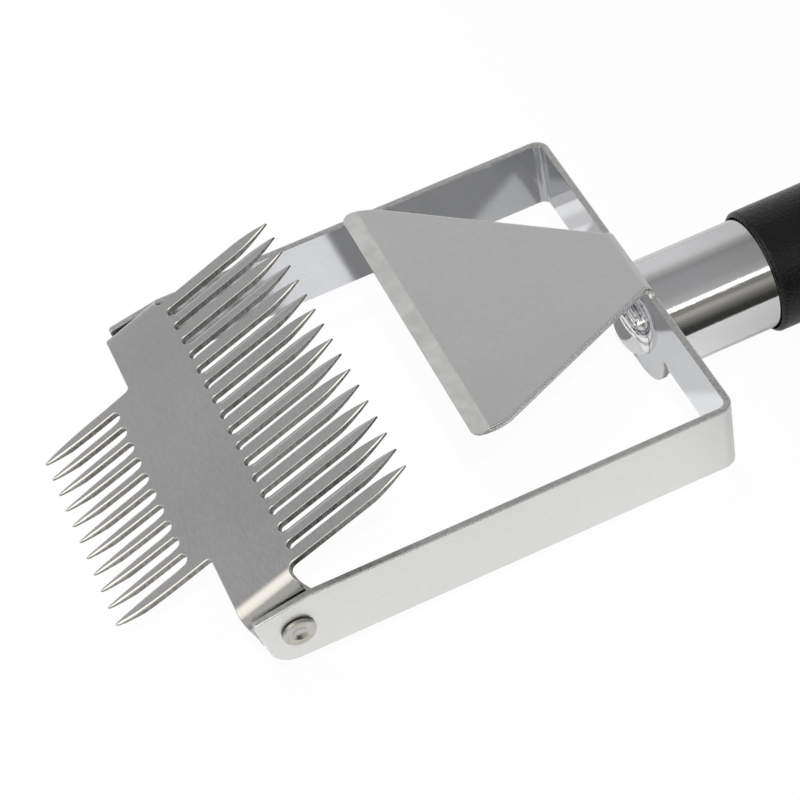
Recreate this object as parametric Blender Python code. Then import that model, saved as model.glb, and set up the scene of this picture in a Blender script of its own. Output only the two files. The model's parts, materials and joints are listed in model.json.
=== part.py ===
"""Uncapping fork: a sheet steel frame with a folded blade, a swivelling comb and a gripped handle.

Frame of the model, in metres: +X runs along the handle towards its tail, +Y is across the tool,
+Z is up. The parts are laid out from a drawing origin, where the outer face of the frame's back
wall crosses the height of the comb's pivot. At the end the whole tool is moved so that its
origin is the centre of the underside of its bounding box.

Sheet parts are made as they are in the workshop: a flat blank is cut, scored along its bend
lines, given its thickness and then bent.
"""

import math

import bmesh
import bpy
from mathutils import Vector

MM = 0.001
GAP = 0.3 * MM                     # play that touching parts keep between them

# Frame and blade: one folded sheet
SHEET = 1.5 * MM
FRAME_WIDTH = 90.0 * MM
BAND_HEIGHT = 17.4 * MM
CORNER_RADIUS = 3.25 * MM          # outside of the frame's two corner bends
ARM_END_X = -104.7 * MM            # furthest point of the arms
ARM_SLOPE_X = -92.5 * MM           # where an arm's top edge starts to fall
ARM_NOSE_Z = 6.2 * MM              # height of the arm's front corner
ARM_TOE_X = -102.3 * MM            # where the arm's front edge would meet its underside
ARM_TOE_RADIUS = 6.0 * MM
LOBE_RADIUS = 13.2 * MM            # round tongue below the wall, behind it sits the tube
LOBE_HALF_WIDTH = 13.6 * MM
LOBE_RELIEF = 1.0 * MM             # small round relief cut beside the lobe
ARM_NOSE_RADIUS = 0.8 * MM
FOLD_RADIUS = 2.5 * MM             # outside of the fold between wall and blade
BLADE_RISE = math.radians(11.7)    # climb of the blade towards its edge
BLADE_LENGTH = 49.8 * MM           # from the end of the fold to the edge
BLADE_ROOT_HALF = 9.4 * MM
BLADE_EDGE_HALF = 34.6 * MM
BLADE_FLARE = math.radians(30.0)   # angle of the blade's sides to its length
BLADE_SIDE_RADIUS = 14.0 * MM
BLADE_CORNER_RADIUS = 1.8 * MM
BLADE_FILLET = 2.0 * MM            # where the blade's sides leave the wall's top edge
BEVEL_WIDTH = 3.5 * MM             # ground edge
BEVEL_LAND = 0.3 * MM              # thickness left at the edge

# Comb: one sheet with two ears bent down inside the arms
PIVOT_X = -96.3 * MM
COMB_TILT = math.radians(23.5)
COMB_TOP = 10.3 * MM               # height of the comb's top face above the pivot
COMB_BEND_RADIUS = 4.2 * MM
COMB_BEND_START = 39.0 * MM
EAR_FRONT = -6.4 * MM
EAR_REAR = 7.0 * MM
EAR_RADIUS = 7.8 * MM              # round end of the ear, about the pivot
EAR_FILLET = 1.6 * MM
TOOTH_PITCH = 4.7 * MM
LONG_TEETH = 17
LONG_TIP = 37.2 * MM
LONG_SHOULDER = 28.0 * MM          # where the long teeth start to narrow
LONG_ROOT = 8.85 * MM
LONG_SLOT_RADIUS = 0.95 * MM
SHORT_TEETH = 11
SHORT_TIP = -30.4 * MM
SHORT_ROOT = -10.7 * MM
SHORT_SLOT_RADIUS = 1.3 * MM
SHORT_OUTER_HALF = 25.2 * MM       # outer edge of the outermost short teeth
NOTCH_RADIUS = 1.0 * MM
SHORT_THINNING = 6.5 * MM          # length over which a short tooth thins to its tip
TIP_THICKNESS = 0.35               # share of the sheet's thickness left at a tooth's tip
LONG_TAPER = 2.0                   # powers of the curves that draw the teeth in to their tips
SHORT_TAPER = 3.2
SHORT_BLUNTNESS = 0.6

# Pivot rivets and their washers
RIVET_RADIUS = 2.0 * MM
RIVET_HEAD_RADIUS = 3.5 * MM
RIVET_HEAD_HEIGHT = 0.75 * MM
RIVET_DIMPLE_RADIUS = 1.8 * MM
RIVET_DIMPLE_DEPTH = 0.5 * MM
RIVET_DIMPLE_FLOOR = 0.8 * MM      # radius of the dimple's flat floor
RIVET_HEAD_EDGE = 0.25 * MM        # chamfer round the head
RIVET_TAIL_HEIGHT = 1.5 * MM
# The tail's rounding: shares of its height, each with the share of the head's radius there
RIVET_TAIL_ROUNDING = ((1.0, 0.45), (0.75, 0.8), (0.3, 1.0))
WASHER_RADIUS = 4.5 * MM
WASHER_THICKNESS = 0.8 * MM

# Handle
HANDLE_Z = -9.2 * MM               # axis of the handle below the pivot
TUBE_RADIUS = 12.6 * MM
TUBE_WALL = 1.0 * MM
TUBE_LENGTH = 134.0 * MM
GRIP_START = 27.2 * MM
GRIP_RADIUS = 13.95 * MM
GRIP_TAIL_RADIUS = 14.6 * MM
GRIP_LENGTH = 109.0 * MM
GRIP_LIP = 1.0 * MM                # rounding of the grip's front rim
GRIP_SWELL_SHARES = (0.25, 0.5, 0.7, 0.85, 0.94)    # where along the grip its swell is drawn
CAP_LENGTH = 15.0 * MM             # length of the end cap behind the grip
CAP_SHANK = 18.0 * MM
CAP_FACE_RADIUS = 8.5 * MM
CAP_RIBS = 3                       # ribs round the shank that hold it in the tube
CAP_RIB_PITCH = 4.5 * MM
CAP_RIB_DEPTH = 0.6 * MM
CAP_RIB_FALL = 1.5 * MM            # length over which a rib falls away behind its crest
HANG_HOLE_RADIUS = 3.2 * MM

# Bolt that holds the handle, and what it clamps inside the tube
DOME_RADIUS = 7.1 * MM
DOME_HEIGHT = 4.0 * MM
BOLT_RADIUS = 3.0 * MM
SHANK_EASE = 0.05 * MM             # the shank is this much thinner, so the square neck stays wider
BOLT_END = 21.0 * MM
BOLT_TIP_LENGTH = 0.6 * MM         # chamfer at the bolt's end
NECK_HALF = 3.0 * MM               # half the width of the square neck under the head
PLUG_LENGTH = 9.0 * MM
CLAMP_WASHER_RADIUS = 6.0 * MM
CLAMP_WASHER_THICKNESS = 1.2 * MM
SPRING_WASHER_RADIUS = 5.0 * MM
SPRING_WASHER_THICKNESS = 1.2 * MM
SPRING_WASHER_SPLIT = math.radians(8)
SPRING_RISE = 0.8 * MM             # how far the spring washer's two ends stand apart
NUT_HALF = 5.0 * MM
NUT_HEIGHT = 5.0 * MM

HALF_WIDTH = FRAME_WIDTH / 2
HALF_BAND = BAND_HEIGHT / 2
ROUND_STEPS = 48                   # sides of the round handle parts
SMALL_STEPS = 24                   # sides of the fasteners
BEND_STEPS = 6                     # flats in each bend
OVERCUT = 2.0 * MM                 # how far a cutter runs past what it cuts


# ---------------------------------------------------------------- scene and materials

def clear_scene():
    for thing in list(bpy.data.objects):
        bpy.data.objects.remove(thing, do_unlink=True)


def material(name, colour, metallic, roughness):
    result = bpy.data.materials.new(name)
    result.use_nodes = True
    shader = result.node_tree.nodes["Principled BSDF"]
    shader.inputs["Base Color"].default_value = (*colour, 1.0)
    shader.inputs["Metallic"].default_value = metallic
    shader.inputs["Roughness"].default_value = roughness
    return result


def satin_steel():
    return material("satin_steel", (0.60, 0.60, 0.59), 1.0, 0.32)


def comb_steel():
    return material("comb_steel", (0.50, 0.50, 0.49), 1.0, 0.28)


def bright_steel():
    return material("bright_steel", (0.66, 0.66, 0.65), 1.0, 0.22)


def chrome():
    return material("chrome", (0.80, 0.80, 0.81), 1.0, 0.06)


def zinc():
    return material("zinc", (0.62, 0.63, 0.65), 1.0, 0.40)


def black_rubber():
    return material("black_rubber", (0.022, 0.022, 0.024), 0.0, 0.55)


def black_plastic():
    return material("black_plastic", (0.025, 0.025, 0.027), 0.0, 0.38)


def make_object(name, mesh_builder, parent, finish):
    mesh = bpy.data.meshes.new(name)
    bmesh.ops.recalc_face_normals(mesh_builder, faces=mesh_builder.faces)
    mesh_builder.to_mesh(mesh)
    mesh_builder.free()
    thing = bpy.data.objects.new(name, mesh)
    bpy.context.collection.objects.link(thing)
    thing.parent = parent
    if finish:
        mesh.materials.append(finish)
    mesh.shade_smooth()
    mesh.set_sharp_from_angle(angle=math.radians(32))
    return thing


def make_empty(name, location, parent):
    empty = bpy.data.objects.new(name, None)
    empty.location = location
    empty.parent = parent
    bpy.context.collection.objects.link(empty)
    return empty


def hide_cutter(cutter):
    cutter.hide_render = True
    cutter.display_type = "WIRE"


def cut(target, cutter):
    hide_cutter(cutter)
    modifier = target.modifiers.new(cutter.name, "BOOLEAN")
    modifier.operation = "DIFFERENCE"
    modifier.solver = "EXACT"
    modifier.object = cutter


# ---------------------------------------------------------------- shared shapes

def arc(centre, radius, start, end, steps):
    """Points on an arc in a plane, angles in degrees, both ends included."""
    points = []
    for step in range(steps + 1):
        angle = math.radians(start + (end - start) * step / steps)
        points.append((centre[0] + radius * math.cos(angle), centre[1] + radius * math.sin(angle)))
    return points


def round_corner(before, corner, after, radius, steps=6):
    """Points that round the corner of an outline with an arc tangent to both of its sides."""
    corner = Vector(corner)
    towards_before = (Vector(before) - corner).normalized()
    towards_after = (Vector(after) - corner).normalized()
    half_angle = towards_before.angle(towards_after) / 2
    centre = corner + (towards_before + towards_after).normalized() * radius / math.sin(half_angle)
    first = corner + towards_before * radius / math.tan(half_angle) - centre
    last = corner + towards_after * radius / math.tan(half_angle) - centre
    turn = first.angle_signed(last)
    points = []
    for step in range(steps + 1):
        angle = -turn * step / steps
        spoke = Vector((first.x * math.cos(angle) - first.y * math.sin(angle),
                        first.x * math.sin(angle) + first.y * math.cos(angle)))
        points.append(tuple(centre + spoke))
    return points


def bend_marks(start, length):
    """Positions of the score lines across one bend."""
    return [start + length * step / BEND_STEPS for step in range(BEND_STEPS + 1)]


def bent_sheet(outline, score_lines, thickness, bend):
    """A flat blank, scored and given its thickness, then bent.

    outline is a loop of flat positions. score_lines are (axis, position) pairs. bend turns a
    flat position and a depth below the outer face into a point in space.
    """
    builder = bmesh.new()
    builder.faces.new([builder.verts.new((a, b, 0.0)) for a, b in outline])
    for axis, position in score_lines:
        normal = Vector((0.0, 0.0, 0.0))
        normal[axis] = 1.0
        bmesh.ops.bisect_plane(
            builder, geom=builder.verts[:] + builder.edges[:] + builder.faces[:],
            dist=1e-7, plane_co=normal * position, plane_no=normal)
    extruded = bmesh.ops.extrude_face_region(builder, geom=builder.faces[:])
    for item in extruded["geom"]:
        if isinstance(item, bmesh.types.BMVert):
            item.co.z = thickness
    for vertex in builder.verts:
        vertex.co = bend(vertex.co.x, vertex.co.y, vertex.co.z)
    return builder


def circle(radius):
    return lambda angle: radius


def polygon(sides, apothem):
    """Distance from the axis to the side of a regular polygon, at an angle."""
    def distance(angle):
        sector = 2 * math.pi / sides
        offset = (angle + sector / 2) % sector - sector / 2
        return apothem / math.cos(offset)
    return distance


def turned(sections, steps, closed):
    """A body along X made of cross-sections (x, radius at an angle).

    A closed body runs from its last section back to its first, as a ring with a bore does.
    Otherwise the two end sections are capped.
    """
    builder = bmesh.new()
    rings = []
    for x, radius in sections:
        ring = []
        for step in range(steps):
            angle = 2 * math.pi * step / steps
            reach = radius(angle)
            ring.append(builder.verts.new((x, reach * math.cos(angle), reach * math.sin(angle))))
        rings.append(ring)
    pairs = list(zip(rings, rings[1:]))
    if closed:
        pairs.append((rings[-1], rings[0]))
    else:
        builder.faces.new(rings[0])
        builder.faces.new(rings[-1])
    for lower, upper in pairs:
        for step in range(steps):
            after = (step + 1) % steps
            builder.faces.new((lower[step], lower[after], upper[after], upper[step]))
    return builder


def round_bar(x_low, x_high, radius, steps=SMALL_STEPS):
    return turned([(x_low, circle(radius)), (x_high, circle(radius))], steps, closed=False)


def ring(x_low, x_high, outer, inner, steps=SMALL_STEPS):
    sections = [(x_low, circle(outer)), (x_high, circle(outer)),
                (x_high, circle(inner)), (x_low, circle(inner))]
    return turned(sections, steps, closed=True)


def side_cutter(name, radius, parent, x, z):
    """A round bar across the tool, for the holes on the pivot's axis."""
    reach = HALF_WIDTH + OVERCUT
    cutter = make_object(name, round_bar(-reach, reach, radius), parent, None)
    cutter.rotation_euler.z = math.radians(90)
    cutter.location = (x, 0.0, z)
    return cutter


# ---------------------------------------------------------------- frame and blade

CORNER_BEND = (CORNER_RADIUS - SHEET / 2) * math.pi / 2
WALL_HALF = HALF_WIDTH - CORNER_RADIUS
ARM_START = WALL_HALF + CORNER_BEND
FOLD_TURN = math.pi / 2 - BLADE_RISE
FOLD_LENGTH = (FOLD_RADIUS - SHEET / 2) * FOLD_TURN
BLADE_START = HALF_BAND + FOLD_LENGTH
BLADE_END = BLADE_START + BLADE_LENGTH


def bend_frame(along, up, depth):
    """Bends the blank. along is measured round the frame, up is its height on the wall."""
    side = math.copysign(1.0, along)
    run = abs(along)
    if run > ARM_START:
        x = -CORNER_RADIUS - (run - ARM_START)
        return Vector((x, side * (HALF_WIDTH - depth), up))
    if run > WALL_HALF:
        turn = (run - WALL_HALF) / (CORNER_RADIUS - SHEET / 2)
        radius = CORNER_RADIUS - depth
        x = -CORNER_RADIUS + radius * math.cos(turn)
        return Vector((x, side * (WALL_HALF + radius * math.sin(turn)), up))
    if up <= HALF_BAND:
        return Vector((-depth, along, up))
    turn = min((up - HALF_BAND) / (FOLD_RADIUS - SHEET / 2), FOLD_TURN)
    straight = max(up - BLADE_START, 0.0)
    radius = FOLD_RADIUS - depth
    x = -FOLD_RADIUS + radius * math.cos(turn) - straight * math.sin(turn)
    z = HALF_BAND + radius * math.sin(turn) + straight * math.cos(turn)
    return Vector((x, along, z))


def arm_position(x):
    """Flat position along the blank of a point of the arm at x."""
    return ARM_START - CORNER_RADIUS - x


def far_half_outline():
    """Half of the blank, from the foot of the lobe round the far arm to the blade's middle."""
    nose = (arm_position(ARM_END_X), ARM_NOSE_Z)
    slope = (arm_position(ARM_SLOPE_X), HALF_BAND)
    toe = (arm_position(ARM_TOE_X), -HALF_BAND)
    heel = (WALL_HALF, -HALF_BAND)
    relief = (LOBE_HALF_WIDTH + LOBE_RELIEF, -HALF_BAND)
    root = (BLADE_ROOT_HALF, BLADE_START)
    flare_end = BLADE_START + (BLADE_EDGE_HALF - BLADE_ROOT_HALF) / math.tan(BLADE_FLARE)
    side = (BLADE_EDGE_HALF, flare_end)
    edge = (BLADE_EDGE_HALF, BLADE_END)
    points = []
    for a, b in arc((0.0, -HALF_BAND), LOBE_RADIUS, -90, 0, 10):
        points.append((a * LOBE_HALF_WIDTH / LOBE_RADIUS, b))
    points += arc(relief, LOBE_RELIEF, 180, 0, 6)[1:]
    points += round_corner(heel, toe, nose, ARM_TOE_RADIUS)
    points += round_corner(toe, nose, slope, ARM_NOSE_RADIUS, 3)
    points += [slope]
    wall_top = (BLADE_ROOT_HALF + BLADE_FILLET, HALF_BAND)
    points += [wall_top]
    points += arc((wall_top[0], HALF_BAND + BLADE_FILLET), BLADE_FILLET, 270, 190, 4)[1:]
    points += [root]
    points += round_corner(root, side, edge, BLADE_SIDE_RADIUS)
    points += round_corner(side, edge, (0.0, BLADE_END), BLADE_CORNER_RADIUS)
    return points


def frame_outline():
    far = far_half_outline()
    near = [(-a, b) for a, b in reversed(far) if a > 1e-9]
    return far + near


def bevel_cutter(parent):
    """A wedge that grinds the blade's top face down to its edge."""
    tip = bend_frame(0.0, BLADE_END, 0.0)
    forward = Vector((-math.cos(BLADE_RISE), 0.0, math.sin(BLADE_RISE)))
    upward = Vector((math.sin(BLADE_RISE), 0.0, math.cos(BLADE_RISE)))
    drop = SHEET - BEVEL_LAND
    start = tip - forward * BEVEL_WIDTH
    slope = (forward * BEVEL_WIDTH - upward * drop).normalized()
    end = start + slope * (BEVEL_WIDTH + OVERCUT)
    back = start - slope * OVERCUT / 2
    corners = [back, end, end + upward * BEVEL_WIDTH, back + upward * BEVEL_WIDTH]
    to_side = Vector((0.0, HALF_WIDTH, 0.0))
    builder = bmesh.new()
    face = builder.faces.new([builder.verts.new(corner - to_side) for corner in corners])
    extruded = bmesh.ops.extrude_face_region(builder, geom=[face])
    moved = [item for item in extruded["geom"] if isinstance(item, bmesh.types.BMVert)]
    bmesh.ops.translate(builder, verts=moved, vec=2 * to_side)
    return make_object("bevel_cutter", builder, parent, None)


def frame_and_blade(parent, finish):
    scores = [(0, side * mark) for side in (-1, 1) for mark in bend_marks(WALL_HALF, CORNER_BEND)]
    scores += [(1, mark) for mark in bend_marks(HALF_BAND, FOLD_LENGTH)]
    builder = bent_sheet(frame_outline(), scores, SHEET, bend_frame)
    thing = make_object("frame_and_blade", builder, parent, finish)
    cut(thing, bevel_cutter(parent))
    cut(thing, side_cutter("arm_hole_cutter", RIVET_RADIUS + GAP, parent, PIVOT_X, 0.0))
    neck = polygon(4, NECK_HALF + GAP)
    sections = [(-SHEET - OVERCUT, neck), (OVERCUT, neck)]
    square = make_object("bolt_hole_cutter", turned(sections, SMALL_STEPS, False), parent, None)
    square.location.z = HANDLE_Z
    cut(thing, square)
    return thing


# ---------------------------------------------------------------- comb

COMB_BEND = (COMB_BEND_RADIUS - SHEET / 2) * math.pi / 2
EAR_START = COMB_BEND_START + COMB_BEND
EAR_CENTRE = EAR_START + COMB_TOP - COMB_BEND_RADIUS

# Where the points of a tooth's outline lie between its start and its tip, closer near the tip
LONG_TOOTH_SHARES = (0.0, 0.2, 0.4, 0.6, 0.8, 0.93)
SHORT_TOOTH_SHARES = (0.15, 0.4, 0.6, 0.75, 0.86, 0.94, 0.985)


def thickness_share(along):
    """Share of the sheet's thickness: the teeth are thinned from below towards their tips."""
    long_run = (along - LONG_SHOULDER) / (LONG_TIP - LONG_SHOULDER)
    short_run = (SHORT_TIP + SHORT_THINNING - along) / SHORT_THINNING
    run = min(max(long_run, short_run, 0.0), 1.0)
    return 1.0 - run * (1.0 - TIP_THICKNESS)


def bend_comb(along, across, depth):
    """Bends the comb's blank. along is in line with the teeth, across runs over the ears."""
    side = math.copysign(1.0, across)
    run = abs(across)
    depth *= thickness_share(along)
    if run <= COMB_BEND_START:
        return Vector((along, across, COMB_TOP - depth))
    turn = min((run - COMB_BEND_START) / (COMB_BEND_RADIUS - SHEET / 2), math.pi / 2)
    radius = COMB_BEND_RADIUS - depth
    y = COMB_BEND_START + radius * math.sin(turn)
    z = COMB_TOP - COMB_BEND_RADIUS + radius * math.cos(turn) - max(run - EAR_START, 0.0)
    return Vector((along, side * y, z))


def long_tooth_side(side_sign, half_width, centre):
    """One side of a long tooth from its shoulder to near its tip."""
    points = []
    for share in LONG_TOOTH_SHARES:
        along = LONG_SHOULDER + (LONG_TIP - LONG_SHOULDER) * share
        points.append((along, centre + side_sign * half_width * (1 - share ** LONG_TAPER)))
    return points


def short_tooth_side(side_sign, half_width, centre):
    """One side of a short tooth, from near its root to near its tip."""
    points = []
    for share in SHORT_TOOTH_SHARES:
        along = SHORT_ROOT + (SHORT_TIP - SHORT_ROOT) * share
        half = half_width * (1 - share ** SHORT_TAPER) ** SHORT_BLUNTNESS
        points.append((along, centre + side_sign * half))
    return points


def long_row():
    """The long teeth's edge, from the -Y side to the +Y side."""
    half_tooth = TOOTH_PITCH / 2 - LONG_SLOT_RADIUS
    last = (LONG_TEETH - 1) / 2
    points = []
    for index in range(LONG_TEETH):
        centre = (index - last) * TOOTH_PITCH
        low_half = half_tooth
        high_half = half_tooth
        if index == 0:
            low_half = centre + COMB_BEND_START
        if index == LONG_TEETH - 1:
            high_half = COMB_BEND_START - centre
        points += long_tooth_side(-1, low_half, centre)
        points += [(LONG_TIP, centre)]
        points += reversed(long_tooth_side(1, high_half, centre))
        if index < LONG_TEETH - 1:
            slot = (LONG_ROOT + LONG_SLOT_RADIUS, centre + TOOTH_PITCH / 2)
            points += arc(slot, LONG_SLOT_RADIUS, 270, 90, 6)
    return points


def short_row():
    """The short teeth's edge, from the +Y side to the -Y side."""
    half_tooth = TOOTH_PITCH / 2 - SHORT_SLOT_RADIUS
    last = (SHORT_TEETH - 1) / 2
    points = []
    for index in range(SHORT_TEETH):
        centre = (last - index) * TOOTH_PITCH
        high_half = half_tooth
        low_half = half_tooth
        if index == 0:
            high_half = SHORT_OUTER_HALF - centre
        if index == SHORT_TEETH - 1:
            low_half = SHORT_OUTER_HALF + centre
        points += short_tooth_side(1, high_half, centre)
        points += [(SHORT_TIP, centre)]
        points += reversed(short_tooth_side(-1, low_half, centre))
        if index < SHORT_TEETH - 1:
            slot = (SHORT_ROOT - SHORT_SLOT_RADIUS, centre - TOOTH_PITCH / 2)
            points += arc(slot, SHORT_SLOT_RADIUS, 90, -90, 6)
    return points


def far_ear():
    """The far ear's edge, from the last long tooth round to the first short tooth."""
    fillet_centre = (EAR_REAR + EAR_FILLET, COMB_BEND_START + EAR_FILLET)
    fillet = arc(fillet_centre, EAR_FILLET, 270, 180, 4)
    bottom = arc((0.0, EAR_CENTRE), EAR_RADIUS, -20, 200, 16)
    bottom += [(EAR_FRONT, COMB_BEND_START)]
    notch_centre = (EAR_FRONT - NOTCH_RADIUS, SHORT_OUTER_HALF + NOTCH_RADIUS)
    notch = arc(notch_centre, NOTCH_RADIUS, 0, -90, 3)
    return fillet + bottom + notch


def comb_outline():
    far = far_ear()
    near = [(along, -across) for along, across in reversed(far)]
    return long_row() + far + short_row() + near


def comb(parent, finish):
    marks = bend_marks(COMB_BEND_START, COMB_BEND)
    scores = [(1, side * mark) for side in (-1, 1) for mark in marks]
    scores += [(0, LONG_SHOULDER), (0, SHORT_TIP + SHORT_THINNING)]
    builder = bent_sheet(comb_outline(), scores, SHEET, bend_comb)
    thing = make_object("comb", builder, parent, finish)
    cut(thing, side_cutter("ear_hole_cutter", RIVET_RADIUS + GAP, parent, 0.0, 0.0))
    return thing


# ---------------------------------------------------------------- pivot rivets

EAR_INNER = COMB_BEND_START + COMB_BEND_RADIUS - SHEET
WASHER_OUTER = EAR_INNER - GAP
WASHER_INNER = WASHER_OUTER - WASHER_THICKNESS


def face_sideways(thing, side):
    """Turns a part made along +X so that it points outwards on one side of the tool."""
    thing.rotation_euler.z = math.radians(90 * side)
    thing.location = (PIVOT_X, 0.0, 0.0)


def pivot_rivet(name, side, parent, finish):
    tail = WASHER_INNER - GAP
    head = HALF_WIDTH + GAP
    top = head + RIVET_HEAD_HEIGHT
    sections = []
    for height, reach in RIVET_TAIL_ROUNDING:
        sections.append((tail - RIVET_TAIL_HEIGHT * height, circle(RIVET_HEAD_RADIUS * reach)))
    sections += [
        (tail, circle(RIVET_HEAD_RADIUS)),
        (tail, circle(RIVET_RADIUS)),
        (head, circle(RIVET_RADIUS)),
        (head, circle(RIVET_HEAD_RADIUS)),
        (top - RIVET_HEAD_EDGE, circle(RIVET_HEAD_RADIUS)),
        (top, circle(RIVET_HEAD_RADIUS - RIVET_HEAD_EDGE)),
        (top, circle(RIVET_DIMPLE_RADIUS)),
        (top - RIVET_DIMPLE_DEPTH, circle(RIVET_DIMPLE_FLOOR)),
    ]
    thing = make_object(name, turned(sections, SMALL_STEPS, closed=False), parent, finish)
    face_sideways(thing, side)


def rivet_washer(name, side, parent, finish):
    builder = ring(WASHER_INNER, WASHER_OUTER, WASHER_RADIUS, RIVET_RADIUS + GAP)
    face_sideways(make_object(name, builder, parent, finish), side)


# ---------------------------------------------------------------- handle

TUBE_BORE = TUBE_RADIUS - TUBE_WALL
GRIP_BORE = TUBE_RADIUS + GAP
GRIP_END = GRIP_START + GRIP_LENGTH
PLUG_START = 2 * GAP
PLUG_END = PLUG_START + PLUG_LENGTH
CLAMP_WASHER_START = PLUG_END + GAP
CLAMP_WASHER_END = CLAMP_WASHER_START + CLAMP_WASHER_THICKNESS
SPRING_START = CLAMP_WASHER_END + GAP
SPRING_END = SPRING_START + SPRING_WASHER_THICKNESS + SPRING_RISE
NUT_START = SPRING_END + GAP


def handle_tube(parent, finish):
    builder = ring(GAP, GAP + TUBE_LENGTH, TUBE_RADIUS, TUBE_BORE, ROUND_STEPS)
    return make_object("handle_tube", builder, parent, finish)


def grip_sleeve(parent, finish):
    sections = []
    for x, radius in arc((GRIP_START + GRIP_LIP, GRIP_RADIUS - GRIP_LIP), GRIP_LIP, 180, 90, 3):
        sections.append((x, circle(radius)))
    for share in GRIP_SWELL_SHARES:
        swell = (1 - math.cos(math.pi * share)) / 2
        radius = GRIP_RADIUS + (GRIP_TAIL_RADIUS - GRIP_RADIUS) * swell
        sections.append((GRIP_START + GRIP_LENGTH * share, circle(radius)))
    sections.append((GRIP_END, circle(GRIP_TAIL_RADIUS)))
    sections.append((GRIP_END, circle(GRIP_BORE)))
    sections.append((GRIP_START, circle(GRIP_BORE)))
    return make_object("grip_sleeve", turned(sections, ROUND_STEPS, closed=True), parent, finish)


def end_cap(parent, finish):
    """A moulded plug: a ribbed shank in the tube, a rounded knob behind the grip."""
    start = GRIP_END + GAP
    end = start + CAP_LENGTH
    shank = TUBE_BORE - GAP
    round_over = GRIP_TAIL_RADIUS - CAP_FACE_RADIUS
    valley = circle(shank - CAP_RIB_DEPTH)
    sections = [(start - CAP_SHANK, valley)]
    for rib in range(CAP_RIBS):
        crest = start - CAP_SHANK + CAP_RIB_PITCH * (rib + 0.5)
        sections += [(crest, circle(shank)), (crest + CAP_RIB_FALL, valley)]
    sections += [(start, valley), (start, circle(GRIP_TAIL_RADIUS))]
    for x, radius in arc((end - round_over, CAP_FACE_RADIUS), round_over, 90, 0, 8):
        sections.append((x, circle(radius)))
    thing = make_object("end_cap", turned(sections, ROUND_STEPS, closed=False), parent, finish)
    reach = GRIP_TAIL_RADIUS + OVERCUT
    cutter = make_object("hanging_hole_cutter", round_bar(-reach, reach, HANG_HOLE_RADIUS), parent, None)
    cutter.rotation_euler.y = math.radians(90)
    cutter.location.x = start + CAP_LENGTH / 2
    cut(thing, cutter)
    return thing


# ---------------------------------------------------------------- handle bolt

SHANK_RADIUS = BOLT_RADIUS - SHANK_EASE
DOME_STEPS = 8
PLUG_RELIEF_DEPTH = 2.0 * MM              # pocket in the plug that clears the square neck


def handle_bolt(parent, finish):
    """Dome head on the wall's inner face, square neck in the wall, shank through the plug."""
    seat = -SHEET - GAP
    neck = polygon(4, NECK_HALF)
    neck_end = GAP
    sections = []
    for step in range(1, DOME_STEPS + 1):
        angle = math.pi / 2 * step / DOME_STEPS
        x = seat - DOME_HEIGHT * math.cos(angle)
        sections.append((x, circle(DOME_RADIUS * math.sin(angle))))
    sections += [
        (seat, neck),
        (neck_end, neck),
        (neck_end, circle(SHANK_RADIUS)),
        (BOLT_END - BOLT_TIP_LENGTH, circle(SHANK_RADIUS)),
        (BOLT_END, circle(SHANK_RADIUS - BOLT_TIP_LENGTH)),
    ]
    return make_object("handle_bolt", turned(sections, SMALL_STEPS, closed=False), parent, finish)


def tube_plug(parent, finish):
    outer = circle(TUBE_BORE - GAP)
    bore = circle(BOLT_RADIUS + GAP)
    neck_relief = circle(NECK_HALF * math.sqrt(2) + GAP)
    sections = [
        (PLUG_START, outer),
        (PLUG_END, outer),
        (PLUG_END, bore),
        (PLUG_RELIEF_DEPTH, bore),
        (PLUG_RELIEF_DEPTH, neck_relief),
        (PLUG_START, neck_relief),
    ]
    return make_object("tube_plug", turned(sections, SMALL_STEPS, closed=True), parent, finish)


def bolt_washer(parent, finish):
    builder = ring(CLAMP_WASHER_START, CLAMP_WASHER_END, CLAMP_WASHER_RADIUS, BOLT_RADIUS + GAP)
    return make_object("bolt_washer", builder, parent, finish)


def spring_washer(parent, finish):
    """A split ring whose ends are sprung apart along the bolt."""
    builder = bmesh.new()
    inner = BOLT_RADIUS + GAP
    loops = []
    for step in range(SMALL_STEPS + 1):
        share = step / SMALL_STEPS
        angle = SPRING_WASHER_SPLIT / 2 + (2 * math.pi - SPRING_WASHER_SPLIT) * share
        low = SPRING_START + SPRING_RISE * share
        high = low + SPRING_WASHER_THICKNESS
        loop = []
        for x, radius in ((low, inner), (low, SPRING_WASHER_RADIUS),
                          (high, SPRING_WASHER_RADIUS), (high, inner)):
            loop.append(builder.verts.new((x, radius * math.cos(angle), radius * math.sin(angle))))
        loops.append(loop)
    builder.faces.new(loops[0])
    builder.faces.new(loops[-1])
    for lower, upper in zip(loops, loops[1:]):
        for corner in range(4):
            after = (corner + 1) % 4
            builder.faces.new((lower[corner], lower[after], upper[after], upper[corner]))
    return make_object("spring_washer", builder, parent, finish)


def bolt_nut(parent, finish):
    flats = polygon(6, NUT_HALF)
    bore = circle(BOLT_RADIUS + GAP)
    end = NUT_START + NUT_HEIGHT
    sections = [(NUT_START, flats), (end, flats), (end, bore), (NUT_START, bore)]
    return make_object("bolt_nut", turned(sections, SMALL_STEPS, closed=True), parent, finish)


# ---------------------------------------------------------------- assembly

def set_origin_under_tool(root):
    """Moves the tool so that the middle of its bounding box's underside is the origin."""
    bpy.context.view_layer.update()
    low = Vector((math.inf,) * 3)
    high = Vector((-math.inf,) * 3)
    graph = bpy.context.evaluated_depsgraph_get()
    for thing in bpy.data.objects:
        if thing.type != "MESH" or thing.hide_render:
            continue
        for vertex in thing.evaluated_get(graph).data.vertices:
            place = thing.matrix_world @ vertex.co
            low = Vector(map(min, low, place))
            high = Vector(map(max, high, place))
    root.location = (-(low.x + high.x) / 2, 0.0, -low.z)


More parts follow.
